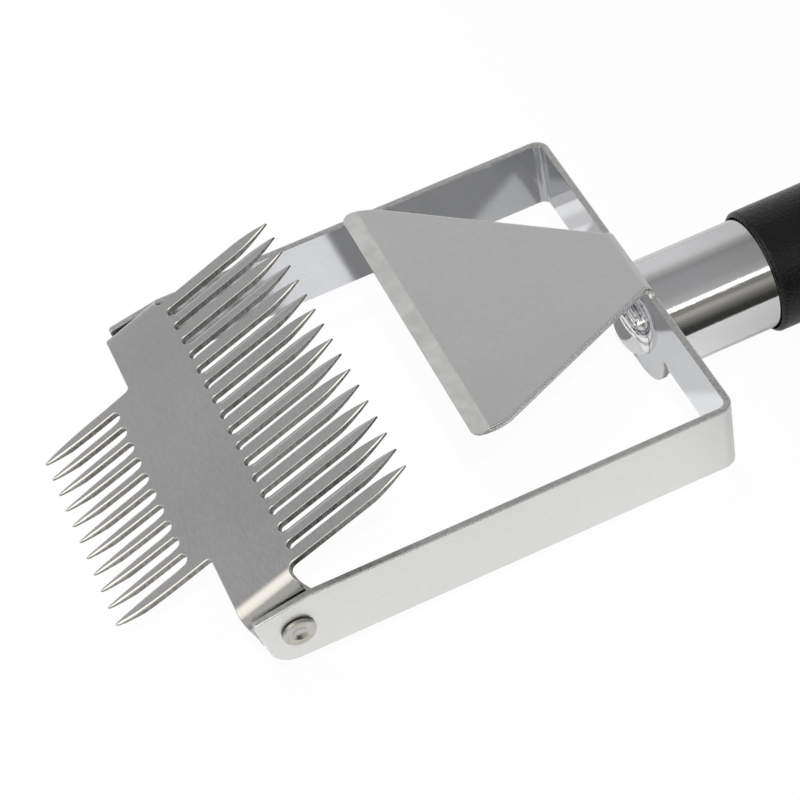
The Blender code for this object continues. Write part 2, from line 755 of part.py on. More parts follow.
def main():
    clear_scene()
    sheet_finish = satin_steel()
    rivet_finish = bright_steel()
    chrome_finish = chrome()
    zinc_finish = zinc()

    tool = make_empty("tool", (0.0, 0.0, 0.0), None)
    handle_axis = make_empty("handle_axis", (0.0, 0.0, HANDLE_Z), tool)
    comb_pivot = make_empty("comb_pivot", (PIVOT_X, 0.0, 0.0), tool)
    comb_pivot.rotation_euler.y = -COMB_TILT

    frame_and_blade(tool, sheet_finish)
    comb(comb_pivot, comb_steel())
    for name, side in (("near", -1), ("far", 1)):
        pivot_rivet(name + "_pivot_rivet", side, tool, rivet_finish)
        rivet_washer(name + "_rivet_washer", side, tool, zinc_finish)

    handle_bolt(handle_axis, chrome_finish)
    tube_plug(handle_axis, zinc_finish)
    bolt_washer(handle_axis, zinc_finish)
    spring_washer(handle_axis, zinc_finish)
    bolt_nut(handle_axis, zinc_finish)
    handle_tube(handle_axis, chrome_finish)
    grip_sleeve(handle_axis, black_rubber())
    end_cap(handle_axis, black_plastic())

    set_origin_under_tool(tool)


main()
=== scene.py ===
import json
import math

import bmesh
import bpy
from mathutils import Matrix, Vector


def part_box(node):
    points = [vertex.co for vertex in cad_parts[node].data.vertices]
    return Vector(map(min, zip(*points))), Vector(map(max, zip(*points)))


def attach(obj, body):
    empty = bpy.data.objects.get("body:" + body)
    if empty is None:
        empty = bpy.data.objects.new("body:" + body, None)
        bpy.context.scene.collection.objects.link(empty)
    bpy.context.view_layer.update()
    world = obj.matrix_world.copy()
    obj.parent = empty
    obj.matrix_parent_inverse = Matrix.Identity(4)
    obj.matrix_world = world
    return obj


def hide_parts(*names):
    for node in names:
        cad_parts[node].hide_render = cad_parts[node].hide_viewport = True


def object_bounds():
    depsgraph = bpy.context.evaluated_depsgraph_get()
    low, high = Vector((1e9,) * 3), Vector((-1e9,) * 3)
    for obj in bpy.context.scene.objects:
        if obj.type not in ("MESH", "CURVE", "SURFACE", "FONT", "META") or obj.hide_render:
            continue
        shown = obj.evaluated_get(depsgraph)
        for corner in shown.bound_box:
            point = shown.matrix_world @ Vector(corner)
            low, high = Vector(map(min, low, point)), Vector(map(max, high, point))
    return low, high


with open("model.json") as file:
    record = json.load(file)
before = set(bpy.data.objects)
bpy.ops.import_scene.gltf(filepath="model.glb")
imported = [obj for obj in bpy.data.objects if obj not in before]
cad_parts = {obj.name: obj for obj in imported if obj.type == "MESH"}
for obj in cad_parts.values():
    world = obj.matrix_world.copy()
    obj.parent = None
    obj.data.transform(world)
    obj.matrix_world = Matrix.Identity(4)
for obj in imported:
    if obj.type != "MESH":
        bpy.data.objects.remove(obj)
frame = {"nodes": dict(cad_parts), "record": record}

# Looks of the uncapping fork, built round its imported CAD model
#
# The sheet metal parts are cut, rounded and bent again here with finer bends and rounded edges,
# and the turned parts are turned again with finer sides. Lengths are in metres. The parts are laid
# out from the CAD's drawing origin: X is 0 on the outer face of the frame's back wall, Y is 0 on
# the handle's axis, Z is 0 on the comb's pivot, +X runs to the tail and +Z is up.

cad_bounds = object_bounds()

MM = 0.001
GAP = 0.3 * MM                     # play between a fastener and the parts that it holds

# ---- sizes read from the frame

PIVOT = Vector(frame["record"]["behaviour"]["joints"][0]["pos_m"])
FRAME_LOW, FRAME_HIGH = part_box("frame_and_blade")
TUBE_LOW, TUBE_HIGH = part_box("handle_tube")
GRIP_LOW, GRIP_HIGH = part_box("grip_sleeve")
CAP_LOW, CAP_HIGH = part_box("end_cap")
BOLT_LOW, BOLT_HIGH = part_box("handle_bolt")

ORIGIN = Vector((FRAME_HIGH.x, 0.0, PIVOT.z))
HALF_WIDTH = FRAME_HIGH.y
PIVOT_X = PIVOT.x - ORIGIN.x
HANDLE_Z = (TUBE_LOW.z + TUBE_HIGH.z) / 2 - ORIGIN.z
TUBE_RADIUS = (TUBE_HIGH.y - TUBE_LOW.y) / 2

# ---- sizes of the sheet parts

SHEET = 1.5 * MM
HALF_BAND = 8.7 * MM
CORNER_RADIUS = 3.25 * MM
ARM_END_X = FRAME_LOW.x - ORIGIN.x
ARM_SLOPE_X = -92.5 * MM
ARM_NOSE_Z = 6.2 * MM
ARM_TOE_X = -102.3 * MM
ARM_TOE_RADIUS = 6.0 * MM
ARM_NOSE_RADIUS = 0.8 * MM
LOBE_RADIUS = 13.2 * MM
LOBE_HALF_WIDTH = 13.6 * MM
LOBE_RELIEF = 1.0 * MM
FOLD_RADIUS = 2.5 * MM
BLADE_RISE = math.radians(11.7)
BLADE_LENGTH = 49.8 * MM
BLADE_ROOT_HALF = 9.4 * MM
BLADE_EDGE_HALF = 34.6 * MM
BLADE_FLARE = math.radians(30.0)
BLADE_SIDE_RADIUS = 14.0 * MM
BLADE_CORNER_RADIUS = 1.8 * MM
BLADE_FILLET = 2.0 * MM
BEVEL_WIDTH = 3.5 * MM
BEVEL_LAND = 0.3 * MM

COMB_TILT = math.radians(23.5)
COMB_TOP = 10.3 * MM
COMB_BEND_RADIUS = 4.2 * MM
COMB_BEND_START = 39.0 * MM
EAR_FRONT = -6.4 * MM
EAR_REAR = 7.0 * MM
EAR_RADIUS = 7.8 * MM
EAR_FILLET = 1.6 * MM
TOOTH_PITCH = 4.7 * MM
LONG_TEETH = 17
LONG_TIP = 37.2 * MM
LONG_SHOULDER = 28.0 * MM
LONG_ROOT = 8.85 * MM
LONG_SLOT_RADIUS = 0.95 * MM
SHORT_TEETH = 11
SHORT_TIP = -30.4 * MM
SHORT_ROOT = -10.7 * MM
SHORT_SLOT_RADIUS = 1.3 * MM
SHORT_OUTER_HALF = 25.2 * MM
NOTCH_RADIUS = 1.0 * MM

BURR_ROUND = 0.15 * MM             # rounding along the edges of a sheet's inner face
BURR_FULL_SCALE = 0.5              # an outer edge of a smaller scale has a smaller burr too

# Cross-sections of a sheet's worked edges, from its outer face down to its cut side: how far in
# from the cut side and how far below the outer face each point lies, in mm
FRAME_EDGE = ((0.55, 0.0), (0.38, 0.03), (0.23, 0.11), (0.11, 0.23), (0.03, 0.38), (0.0, 0.55))
CRISP_EDGE = ((0.06, 0.0), (0.04, 0.005), (0.02, 0.01), (0.01, 0.02), (0.005, 0.04), (0.0, 0.06))
LIT_EDGE = ((0.62, 0.0), (0.50, 0.03), (0.32, 0.12), (0.15, 0.26), (0.05, 0.40), (0.0, 0.55))
GENTLE_EDGE = ((1.20, 0.0), (0.95, 0.03), (0.65, 0.10), (0.35, 0.22), (0.12, 0.38), (0.0, 0.55))

# Holes for the pivot rivets and for the bolt's square neck
RIVET_RADIUS = 2.0 * MM
HOLE_RADIUS = RIVET_RADIUS + GAP
NECK_HALF = 3.0 * MM
NECK_SIDES = 4

BEND_STEPS = 14                    # flats along a bend of the sheet
TURN_STEPS = 128                   # sides of the handle's parts
SMALL_STEPS = 72                   # sides of the fasteners
SHARP_ANGLE = math.radians(35)     # edges that turn further than this are shaded sharp
SHADING_WEIGHT = 80                # above 50, the larger faces set the shading of the smaller
LEAST_MITRE = 0.6                  # keeps an outline's sharp corners from moving in too far
TINY = 0.001 * MM
SCORE_TOLERANCE = 1e-7

# Faces of a sheet part, as numbers of its material slots
OUTER, EDGE, SHEARED, INNER, GROUND = range(5)


# ---- plane shapes

def arc(centre, radius, start, end, steps):
    """Points on an arc, angles in degrees, both ends included."""
    points = []
    for step in range(steps + 1):
        angle = math.radians(start + (end - start) * step / steps)
        points.append((centre[0] + radius * math.cos(angle), centre[1] + radius * math.sin(angle)))
    return points


def round_corner(before, corner, after, radius, steps=8):
    """Points that round a corner with an arc tangent to both of its sides."""
    corner = Vector(corner)
    towards_before = (Vector(before) - corner).normalized()
    towards_after = (Vector(after) - corner).normalized()
    half_angle = towards_before.angle(towards_after) / 2
    centre = corner + (towards_before + towards_after).normalized() * radius / math.sin(half_angle)
    first = corner + towards_before * radius / math.tan(half_angle) - centre
    last = corner + towards_after * radius / math.tan(half_angle) - centre
    turn = first.angle_signed(last)
    points = []
    for step in range(steps + 1):
        angle = -turn * step / steps
        spoke = Vector((first.x * math.cos(angle) - first.y * math.sin(angle),
                        first.x * math.sin(angle) + first.y * math.cos(angle)))
        points.append(tuple(centre + spoke))
    return points


def edged(points, shape, scale=1.0):
    """Gives each outline point a worked edge: its cross-section and the scale of it."""
    return [(a, b, shape, scale) for a, b in points]


def bend_marks(start, length):
    """Where a blank is scored so that it can follow a bend."""
    return [start + length * step / BEND_STEPS for step in range(BEND_STEPS + 1)]


# ---- mesh pieces

def add_object(name, data):
    thing = bpy.data.objects.new(name, data)
    bpy.context.scene.collection.objects.link(thing)
    return thing


def built_object(name, builder):
    """Turns a mesh in drawing coordinates into an object in the frame's coordinates."""
    bmesh.ops.recalc_face_normals(builder, faces=builder.faces)
    mesh = bpy.data.meshes.new(name)
    builder.to_mesh(mesh)
    builder.free()
    mesh.transform(Matrix.Translation(ORIGIN))
    return add_object(name, mesh)


def shade(mesh):
    mesh.shade_smooth()
    mesh.set_sharp_from_angle(angle=SHARP_ANGLE)


def add_piece(name, builder, body, replaced, finishes):
    """A shown piece that rides on a body and stands for a CAD node."""
    piece = built_object(name, builder)
    for finish in finishes:
        piece.data.materials.append(finish)
    shade(piece.data)
    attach(piece, body)
    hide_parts(replaced)
    return piece


def even_shading(piece):
    """Lets the large flat faces set the shading of the narrow rounded ones beside them."""
    weights = piece.modifiers.new("even_shading", "WEIGHTED_NORMAL")
    weights.keep_sharp = True
    weights.weight = SHADING_WEIGHT


def drill(piece, cutter_builder):
    """Cuts a hole, in drawing coordinates, into a piece."""
    cutter = built_object("cutter", cutter_builder)
    hole = piece.modifiers.new("hole", "BOOLEAN")
    hole.operation = "DIFFERENCE"
    hole.solver = "EXACT"
    hole.object = cutter
    graph = bpy.context.evaluated_depsgraph_get()
    drilled = bpy.data.meshes.new_from_object(piece.evaluated_get(graph))
    piece.modifiers.clear()
    piece.data = drilled
    bpy.data.objects.remove(cutter)
    shade(drilled)


def drill_pivot(piece):
    """Cuts the two rivet holes."""
    reach = 2 * HALF_WIDTH
    bar = turned([(-reach, HOLE_RADIUS), (reach, HOLE_RADIUS)], SMALL_STEPS, closed=False)
    drill(piece, across(bar, 1))


def turned(profile, steps, closed=True, sides=None):
    """A body round the X axis. profile holds (x, radius). It runs round a ring's section and
    closes on itself, or with closed=False it runs from end to end and both ends get a flat face.
    With sides the body is a prism, and radius is half its width over the flats."""
    builder = bmesh.new()
    rings = []
    for x, radius in profile:
        ring = []
        for step in range(steps):
            angle = 2 * math.pi * step / steps
            reach = radius
            if sides:
                sector = 2 * math.pi / sides
                reach = radius / math.cos((angle + sector / 2) % sector - sector / 2)
            ring.append(builder.verts.new((x, reach * math.cos(angle), reach * math.sin(angle))))
        rings.append(ring)
    pairs = list(zip(rings, rings[1:]))
    if closed:
        pairs.append((rings[-1], rings[0]))
    else:
        builder.faces.new(rings[0])
        builder.faces.new(rings[-1])
    for lower, upper in pairs:
        for step in range(steps):
            after = (step + 1) % steps
            builder.faces.new((lower[step], lower[after], upper[after], upper[step]))
    return builder


def moved(builder, matrix):
    """Moves a mesh and hands it on."""
    bmesh.ops.transform(builder, matrix=matrix, verts=builder.verts)
    return builder


def on_handle(builder):
    """Moves a body made round the X axis to the handle's axis."""
    return moved(builder, Matrix.Translation((0.0, 0.0, HANDLE_Z)))


def across(builder, side):
    """Turns a body made along +X so that it points outwards through the comb's pivot."""
    turn = Matrix.Rotation(math.radians(90 * side), 4, "Z")
    return moved(builder, Matrix.Translation((PIVOT_X, 0.0, 0.0)) @ turn)


def rounded_profile(corners):
    """A profile from (x, radius, rounding) corners, the ends left sharp."""
    points = [corners[0][:2]]
    for before, (x, radius, rounding), after in zip(corners, corners[1:], corners[2:]):
        if rounding:
            points += round_corner(before[:2], (x, radius), after[:2], rounding, steps=5)
        else:
            points.append((x, radius))
    points.append(corners[-1][:2])
    return points


def ring_profile(start, end, bore, radius, roundings):
    """A ring's section, rounded at its outer start, outer end, inner end and inner start."""
    middle = (start, (bore + radius) / 2, 0.0)
    corners = [(start, radius), (end, radius), (end, bore), (start, bore)]
    rounded = [(*corner, rounding) for corner, rounding in zip(corners, roundings)]
    return rounded_profile([middle, *rounded, middle])[:-1]


# ---- sheet metal

def inset_directions(points):
    """For each point of a closed outline, the move that shifts both of its sides inwards by 1."""
    count = len(points)
    area = 0.0
    for index in range(count):
        here = points[index]
        after = points[(index + 1) % count]
        area += here[0] * after[1] - after[0] * here[1]
    turn = math.copysign(1.0, area)
    moves = []
    for index in range(count):
        here = Vector(points[index][:2])
        before = (here - Vector(points[index - 1][:2])).normalized()
        after = (Vector(points[(index + 1) % count][:2]) - here).normalized()
        first = Vector((-before.y, before.x)) * turn
        second = Vector((-after.y, after.x)) * turn
        moves.append((first + second) / max(1.0 + first.dot(second), LEAST_MITRE))
    return moves


def bent_sheet(outline, score_lines, bend, ground_from=None):
    """A blank with worked edges, scored, then bent. outline holds (a, b, shape, scale), and
    score_lines holds an axis, 0 or 1, and the place on it where the blank is cut across. Beyond
    the place ground_from the outer face is a ground one."""
    builder = bmesh.new()
    moves = inset_directions(outline)
    rings = []
    kinds = []
    for step in range(len(FRAME_EDGE)):
        ring = []
        for (a, b, shape, scale), move in zip(outline, moves):
            inset, depth = (value * scale * MM for value in shape[step])
            ring.append(builder.verts.new((a + move.x * inset, b + move.y * inset, depth)))
        rings.append(ring)
        kinds.append(EDGE)
    kinds[-1] = SHEARED
    for angle in (0.0, math.pi / 4, math.pi / 2):
        ring = []
        for (a, b, _, scale), move in zip(outline, moves):
            burr = BURR_ROUND * min(1.0, scale / BURR_FULL_SCALE)
            inset = burr * (1 - math.cos(angle))
            depth = SHEET - burr * (1 - math.sin(angle))
            ring.append(builder.verts.new((a + move.x * inset, b + move.y * inset, depth)))
        rings.append(ring)
        kinds.append(SHEARED)
    builder.faces.new(rings[0]).material_index = OUTER
    builder.faces.new(rings[-1]).material_index = INNER
    count = len(outline)
    for lower, upper, kind in zip(rings, rings[1:], kinds):
        for index in range(count):
            after = (index + 1) % count
            face = builder.faces.new((lower[index], lower[after], upper[after], upper[index]))
            face.material_index = kind
    for axis, position in score_lines:
        normal = Vector((0.0, 0.0, 0.0))
        normal[axis] = 1.0
        bmesh.ops.bisect_plane(
            builder, geom=builder.verts[:] + builder.edges[:] + builder.faces[:],
            dist=SCORE_TOLERANCE, plane_co=normal * position, plane_no=normal)
    if ground_from is not None:
        for face in builder.faces:
            centre = face.calc_center_median()
            if centre.y > ground_from and face.material_index in (OUTER, EDGE):
                face.material_index = GROUND
    for vertex in builder.verts:
        vertex.co = bend(vertex.co.x, vertex.co.y, vertex.co.z)
    return builder


# ---- frame and blade

CORNER_BEND = (CORNER_RADIUS - SHEET / 2) * math.pi / 2
WALL_HALF = HALF_WIDTH - CORNER_RADIUS
ARM_START = WALL_HALF + CORNER_BEND
FOLD_TURN = math.pi / 2 - BLADE_RISE
FOLD_LENGTH = (FOLD_RADIUS - SHEET / 2) * FOLD_TURN
BLADE_START = HALF_BAND + FOLD_LENGTH
BLADE_END = BLADE_START + BLADE_LENGTH
BEVEL_START = BLADE_END - BEVEL_WIDTH
BAND_EDGE_SCALE = 0.5              # the band's edges are less worn than the blade's
FILLET_END = 190                   # how far round the blade's fillet runs, in degrees


def bend_frame(along, up, depth):
    """along is measured round the frame, up is the height on the wall and on up the blade."""
    side = math.copysign(1.0, along)
    run = abs(along)
    on_band = up < HALF_BAND + TINY
    if run > ARM_START and on_band:
        x = -CORNER_RADIUS - (run - ARM_START)
        return Vector((x, side * (HALF_WIDTH - depth), up))
    if run > WALL_HALF and on_band:
        turn = (run - WALL_HALF) / (CORNER_RADIUS - SHEET / 2)
        radius = CORNER_RADIUS - depth
        x = -CORNER_RADIUS + radius * math.cos(turn)
        return Vector((x, side * (WALL_HALF + radius * math.sin(turn)), up))
    if on_band:
        return Vector((-depth, along, up))
    grind = (up - BEVEL_START) / BEVEL_WIDTH * (SHEET - BEVEL_LAND)
    depth = max(depth, grind)
    turn = min((up - HALF_BAND) / (FOLD_RADIUS - SHEET / 2), FOLD_TURN)
    straight = max(up - BLADE_START, 0.0)
    radius = FOLD_RADIUS - depth
    x = -FOLD_RADIUS + radius * math.cos(turn) - straight * math.sin(turn)
    z = HALF_BAND + radius * math.sin(turn) + straight * math.cos(turn)
    return Vector((x, along, z))


def arm_position(x):
    """How far round the frame a point of an arm lies."""
    return ARM_START - CORNER_RADIUS - x


def far_half_outline():
    """Half of the blank, from the foot of the lobe round the far arm to the blade's edge."""
    nose = (arm_position(ARM_END_X), ARM_NOSE_Z)
    slope = (arm_position(ARM_SLOPE_X), HALF_BAND)
    toe = (arm_position(ARM_TOE_X), -HALF_BAND)
    heel = (WALL_HALF, -HALF_BAND)
    relief = (LOBE_HALF_WIDTH + LOBE_RELIEF, -HALF_BAND)
    root = (BLADE_ROOT_HALF, BLADE_START)
    flare_end = BLADE_START + (BLADE_EDGE_HALF - BLADE_ROOT_HALF) / math.tan(BLADE_FLARE)
    side = (BLADE_EDGE_HALF, flare_end)
    edge = (BLADE_EDGE_HALF, BLADE_END)
    band = []
    for a, b in arc((0.0, -HALF_BAND), LOBE_RADIUS, -90, 0, steps=20):
        band.append((a * LOBE_HALF_WIDTH / LOBE_RADIUS, b))
    band += arc(relief, LOBE_RELIEF, 180, 0, steps=8)[1:]
    band += round_corner(heel, toe, nose, ARM_TOE_RADIUS, steps=12)
    band += round_corner(toe, nose, slope, ARM_NOSE_RADIUS, steps=4)
    wall_top = (BLADE_ROOT_HALF + BLADE_FILLET, HALF_BAND)
    band += [slope, wall_top]
    fillet_centre = (wall_top[0], HALF_BAND + BLADE_FILLET)
    blade = arc(fillet_centre, BLADE_FILLET, 270, FILLET_END, steps=6)[1:]
    blade += [root]
    blade += round_corner(root, side, edge, BLADE_SIDE_RADIUS, steps=14)
    blade += round_corner(side, edge, (0.0, BLADE_END), BLADE_CORNER_RADIUS)
    return edged(band, FRAME_EDGE, BAND_EDGE_SCALE) + edged(blade, FRAME_EDGE)


def frame_and_blade(finishes):
    far = far_half_outline()
    near = [(-a, b, *edge) for a, b, *edge in reversed(far) if a > TINY]
    scores = [(0, side * mark) for side in (-1, 1) for mark in bend_marks(WALL_HALF, CORNER_BEND)]
    scores += [(1, mark) for mark in bend_marks(HALF_BAND, FOLD_LENGTH)]
    scores += [(1, BEVEL_START)]
    builder = bent_sheet(far + near, scores, bend_frame, BEVEL_START)
    piece = add_piece("folded_frame_and_blade", builder, "frame", "frame_and_blade",
                      finishes)
    drill_pivot(piece)
    neck = [(-3 * SHEET, NECK_HALF + GAP), (SHEET, NECK_HALF + GAP)]
    drill(piece, on_handle(turned(neck, 8 * NECK_SIDES, closed=False, sides=NECK_SIDES)))
    even_shading(piece)


# ---- comb

COMB_BEND = (COMB_BEND_RADIUS - SHEET / 2) * math.pi / 2
EAR_START = COMB_BEND_START + COMB_BEND
EAR_CENTRE = EAR_START + COMB_TOP - COMB_BEND_RADIUS
EAR_ROUND = (-20, 200)             # how far round an ear's bottom the round runs, in degrees
TIP_THICKNESS = 0.35               # share of the sheet left at a tooth's tip
SHORT_THINNING = 6.5 * MM          # length over which a short tooth thins to its tip
LONG_TAPER = 2.0                   # how late a long tooth narrows to its tip
SHORT_TAPER = 3.2                  # how late a short tooth narrows to its tip
SHORT_BLUNTNESS = 0.6              # the smaller, the blunter a short tooth ends
SLOT_EASE = 1.6                    # slot radii from a long slot's root to its straight sides

# Shares of a tooth's length at which its sides have points
LONG_SHARES = (0.0, 0.12, 0.25, 0.38, 0.5, 0.62, 0.74, 0.85, 0.94)
SHORT_SHARES = (0.15, 0.3, 0.45, 0.58, 0.68, 0.77, 0.85, 0.91, 0.955, 0.985)

# Scales of the worked edges
PLATE_SCALE = 0.4                  # round the plate and at the slots' ends
POINT_SCALE = 0.2                  # at the point of a tooth
TIP_SCALES = (0.15, 0.6)           # least and most along the tip of a flat long tooth
SHORT_SCALES = (0.4, 1.0)          # from the root to the tip of a short tooth
WIDEST_EDGE = 0.8                  # share of a tooth's half width that an edge may take


def tip_share(place):
    """0 at a long tooth's shoulder, 1 at its tip."""
    return (place - LONG_SHOULDER) / (LONG_TIP - LONG_SHOULDER)


def short_share(place):
    """0 at a short tooth's root, 1 at its tip."""
    return (place - SHORT_ROOT) / (SHORT_TIP - SHORT_ROOT)


def thickness_share(along):
    """The teeth thin towards their tips, from below."""
    short_run = (SHORT_TIP + SHORT_THINNING - along) / SHORT_THINNING
    run = min(max(tip_share(along), short_run, 0.0), 1.0)
    return 1.0 - run * (1.0 - TIP_THICKNESS)


def bend_comb(along, across_comb, depth):
    """along runs along the teeth, across_comb over the plate and down the ears."""
    side = math.copysign(1.0, across_comb)
    run = abs(across_comb)
    depth *= thickness_share(along)
    if run <= COMB_BEND_START:
        flat = Vector((along, across_comb, COMB_TOP - depth))
    else:
        turn = min((run - COMB_BEND_START) / (COMB_BEND_RADIUS - SHEET / 2), math.pi / 2)
        radius = COMB_BEND_RADIUS - depth
        y = COMB_BEND_START + radius * math.sin(turn)
        z = COMB_TOP - COMB_BEND_RADIUS + radius * math.cos(turn) - max(run - EAR_START, 0.0)
        flat = Vector((along, side * y, z))
    x = PIVOT_X + flat.x * math.cos(COMB_TILT) - flat.z * math.sin(COMB_TILT)
    z = flat.x * math.sin(COMB_TILT) + flat.z * math.cos(COMB_TILT)
    return Vector((x, flat.y, z))


def tooth_side(places, half_at, side, centre, shape, scale_at):
    """One side of a tooth. places holds positions along it; half_at gives its half width there."""
    points = []
    for place in places:
        half = half_at(place)
        limit = WIDEST_EDGE * half / (shape[0][0] * MM)
        points.append((place, centre + side * half, shape, min(scale_at(place), limit)))
    return points


def full_scale(place):
    return 1.0


def tip_scale(place):
    """For an edge that is ground only along the tip of a long tooth."""
    least, most = TIP_SCALES
    return min(max(least, tip_share(place)), most)


def short_scale(place):
    """For an edge that is ground wider and wider towards the tip of a short tooth."""
    at_root, at_tip = SHORT_SCALES
    return at_root + (at_tip - at_root) * short_share(place) ** 2


def long_half(half_tooth):
    """Half width of a long tooth: even to its shoulder, then drawn in to the tip."""
    def half_at(place):
        return half_tooth * (1 - max(tip_share(place), 0.0) ** LONG_TAPER)
    return half_at


def short_half(half_tooth):
    """Half width of a short tooth: it narrows all the way to a blunt tip."""
    def half_at(place):
        return half_tooth * (1 - short_share(place) ** SHORT_TAPER) ** SHORT_BLUNTNESS
    return half_at


def long_row():
    """The long teeth's edge, from the -Y side to the +Y side. Every second tooth is rounded along
    its far side. The others are flat, with a ground edge at the tip."""
    half_tooth = TOOTH_PITCH / 2 - LONG_SLOT_RADIUS
    last = (LONG_TEETH - 1) / 2
    straight = [LONG_ROOT + LONG_SLOT_RADIUS * SLOT_EASE, (LONG_ROOT + LONG_SHOULDER) / 2]
    taper = [LONG_SHOULDER + (LONG_TIP - LONG_SHOULDER) * share for share in LONG_SHARES]
    places = straight + taper
    points = []
    for index in range(LONG_TEETH):
        centre = (index - last) * TOOTH_PITCH
        low_half = centre + COMB_BEND_START if index == 0 else half_tooth
        high_half = COMB_BEND_START - centre if index == LONG_TEETH - 1 else half_tooth
        near_edge = (CRISP_EDGE, full_scale) if index % 2 else (LIT_EDGE, tip_scale)
        far_edge = (GENTLE_EDGE, full_scale) if index % 2 else (CRISP_EDGE, full_scale)
        points += tooth_side(places, long_half(low_half), -1, centre, *near_edge)
        points += [(LONG_TIP, centre, CRISP_EDGE, POINT_SCALE)]
        points += reversed(tooth_side(places, long_half(high_half), 1, centre, *far_edge))
        if index < LONG_TEETH - 1:
            slot = (LONG_ROOT + LONG_SLOT_RADIUS, centre + TOOTH_PITCH / 2)
            points += edged(arc(slot, LONG_SLOT_RADIUS, 270, 90, steps=12), LIT_EDGE, PLATE_SCALE)
    return points


def short_row():
    """The short teeth's edge, from the +Y side to the -Y side."""
    half_tooth = TOOTH_PITCH / 2 - SHORT_SLOT_RADIUS
    last = (SHORT_TEETH - 1) / 2
    places = [SHORT_ROOT + (SHORT_TIP - SHORT_ROOT) * share for share in SHORT_SHARES]
    points = []
    for index in range(SHORT_TEETH):
        centre = (last - index) * TOOTH_PITCH
        high_half = SHORT_OUTER_HALF - centre if index == 0 else half_tooth
        low_half = SHORT_OUTER_HALF + centre if index == SHORT_TEETH - 1 else half_tooth
        points += tooth_side(places, short_half(high_half), 1, centre, FRAME_EDGE, full_scale)
        points += [(SHORT_TIP, centre, FRAME_EDGE, POINT_SCALE)]
        near_side = tooth_side(places, short_half(low_half), -1, centre, LIT_EDGE, short_scale)
        points += reversed(near_side)
        if index < SHORT_TEETH - 1:
            slot = (SHORT_ROOT - SHORT_SLOT_RADIUS, centre - TOOTH_PITCH / 2)
            points += edged(arc(slot, SHORT_SLOT_RADIUS, 90, -90, steps=12), LIT_EDGE, PLATE_SCALE)
    return points


def far_ear():
    """The far ear's edge, from the last long tooth round to the first short tooth."""
    fillet_centre = (EAR_REAR + EAR_FILLET, COMB_BEND_START + EAR_FILLET)
    fillet = arc(fillet_centre, EAR_FILLET, 270, 180, steps=6)
    bottom = arc((0.0, EAR_CENTRE), EAR_RADIUS, *EAR_ROUND, steps=32)
    bottom += [(EAR_FRONT, COMB_BEND_START)]
    notch_centre = (EAR_FRONT - NOTCH_RADIUS, SHORT_OUTER_HALF + NOTCH_RADIUS)
    notch = arc(notch_centre, NOTCH_RADIUS, 0, -90, steps=5)
    return edged(fillet + bottom + notch, LIT_EDGE, PLATE_SCALE)


def comb(finishes):
    far = far_ear()
    near = [(along, -place, *edge) for along, place, *edge in reversed(far)]
    outline = long_row() + far + short_row() + near
    marks = bend_marks(COMB_BEND_START, COMB_BEND)
    scores = [(1, side * mark) for side in (-1, 1) for mark in marks]
    scores += [(0, LONG_SHOULDER), (0, SHORT_TIP + SHORT_THINNING)]
    builder = bent_sheet(outline, scores, bend_comb)
    piece = add_piece("toothed_comb", builder, "comb", "comb", finishes)
    drill_pivot(piece)
    even_shading(piece)


# ---- rivets

EAR_INNER = COMB_BEND_START + COMB_BEND_RADIUS - SHEET
WASHER_OUTER = EAR_INNER - GAP
WASHER_THICKNESS = 0.8 * MM
WASHER_INNER = WASHER_OUTER - WASHER_THICKNESS
WASHER_RADIUS = 4.5 * MM
WASHER_ROUNDING = 0.12 * MM
HEAD_RADIUS = 3.5 * MM
HEAD_HEIGHT = 0.75 * MM
HEAD_ROUNDING = 0.3 * MM
DIMPLE_RADIUS = 1.8 * MM
DIMPLE_DEPTH = 0.5 * MM
DIMPLE_EDGE_ROUNDING = 0.25 * MM
DIMPLE_FLOOR = 0.5                 # share of the dimple's radius at its deepest ring
DIMPLE_FLOOR_ROUNDING = 0.3 * MM
DIMPLE_MIDDLE = 0.7                # share of the dimple's depth that its middle has
TAIL_HEIGHT = 1.5 * MM
TAIL_FLAT = 0.55                   # share of the tail's radius that its flat end takes
TAIL_FLAT_ROUNDING = 1.2 * MM
TAIL_SIDE = 0.35                   # share of the tail's height that its straight side takes
TAIL_SIDE_ROUNDING = 0.4 * MM
AXIS_RADIUS = 0.05 * MM            # the small flat that closes a turned face on its axis


def pivot_rivet(name, side, finish):
    tail = WASHER_INNER - GAP
    tail_end = tail - TAIL_HEIGHT
    seat = HALF_WIDTH + GAP
    top = seat + HEAD_HEIGHT
    profile = rounded_profile([
        (tail_end, AXIS_RADIUS, 0.0),
        (tail_end, HEAD_RADIUS * TAIL_FLAT, TAIL_FLAT_ROUNDING),
        (tail - TAIL_HEIGHT * TAIL_SIDE, HEAD_RADIUS, TAIL_SIDE_ROUNDING),
        (tail, HEAD_RADIUS, 0.0),
        (tail, RIVET_RADIUS, 0.0),
        (seat, RIVET_RADIUS, 0.0),
        (seat, HEAD_RADIUS, 0.0),
        (top, HEAD_RADIUS, HEAD_ROUNDING),
        (top, DIMPLE_RADIUS, DIMPLE_EDGE_ROUNDING),
        (top - DIMPLE_DEPTH, DIMPLE_RADIUS * DIMPLE_FLOOR, DIMPLE_FLOOR_ROUNDING),
        (top - DIMPLE_DEPTH * DIMPLE_MIDDLE, AXIS_RADIUS, 0.0),
    ])
    builder = across(turned(profile, SMALL_STEPS, closed=False), side)
    even_shading(add_piece("formed_" + name, builder, "frame", name, [finish]))


def rivet_washer(name, side, finish):
    roundings = [WASHER_ROUNDING] * 4
    profile = ring_profile(WASHER_INNER, WASHER_OUTER, HOLE_RADIUS, WASHER_RADIUS, roundings)
    builder = across(turned(profile, SMALL_STEPS), side)
    even_shading(add_piece("turned_" + name, builder, "frame", name, [finish]))


# ---- handle

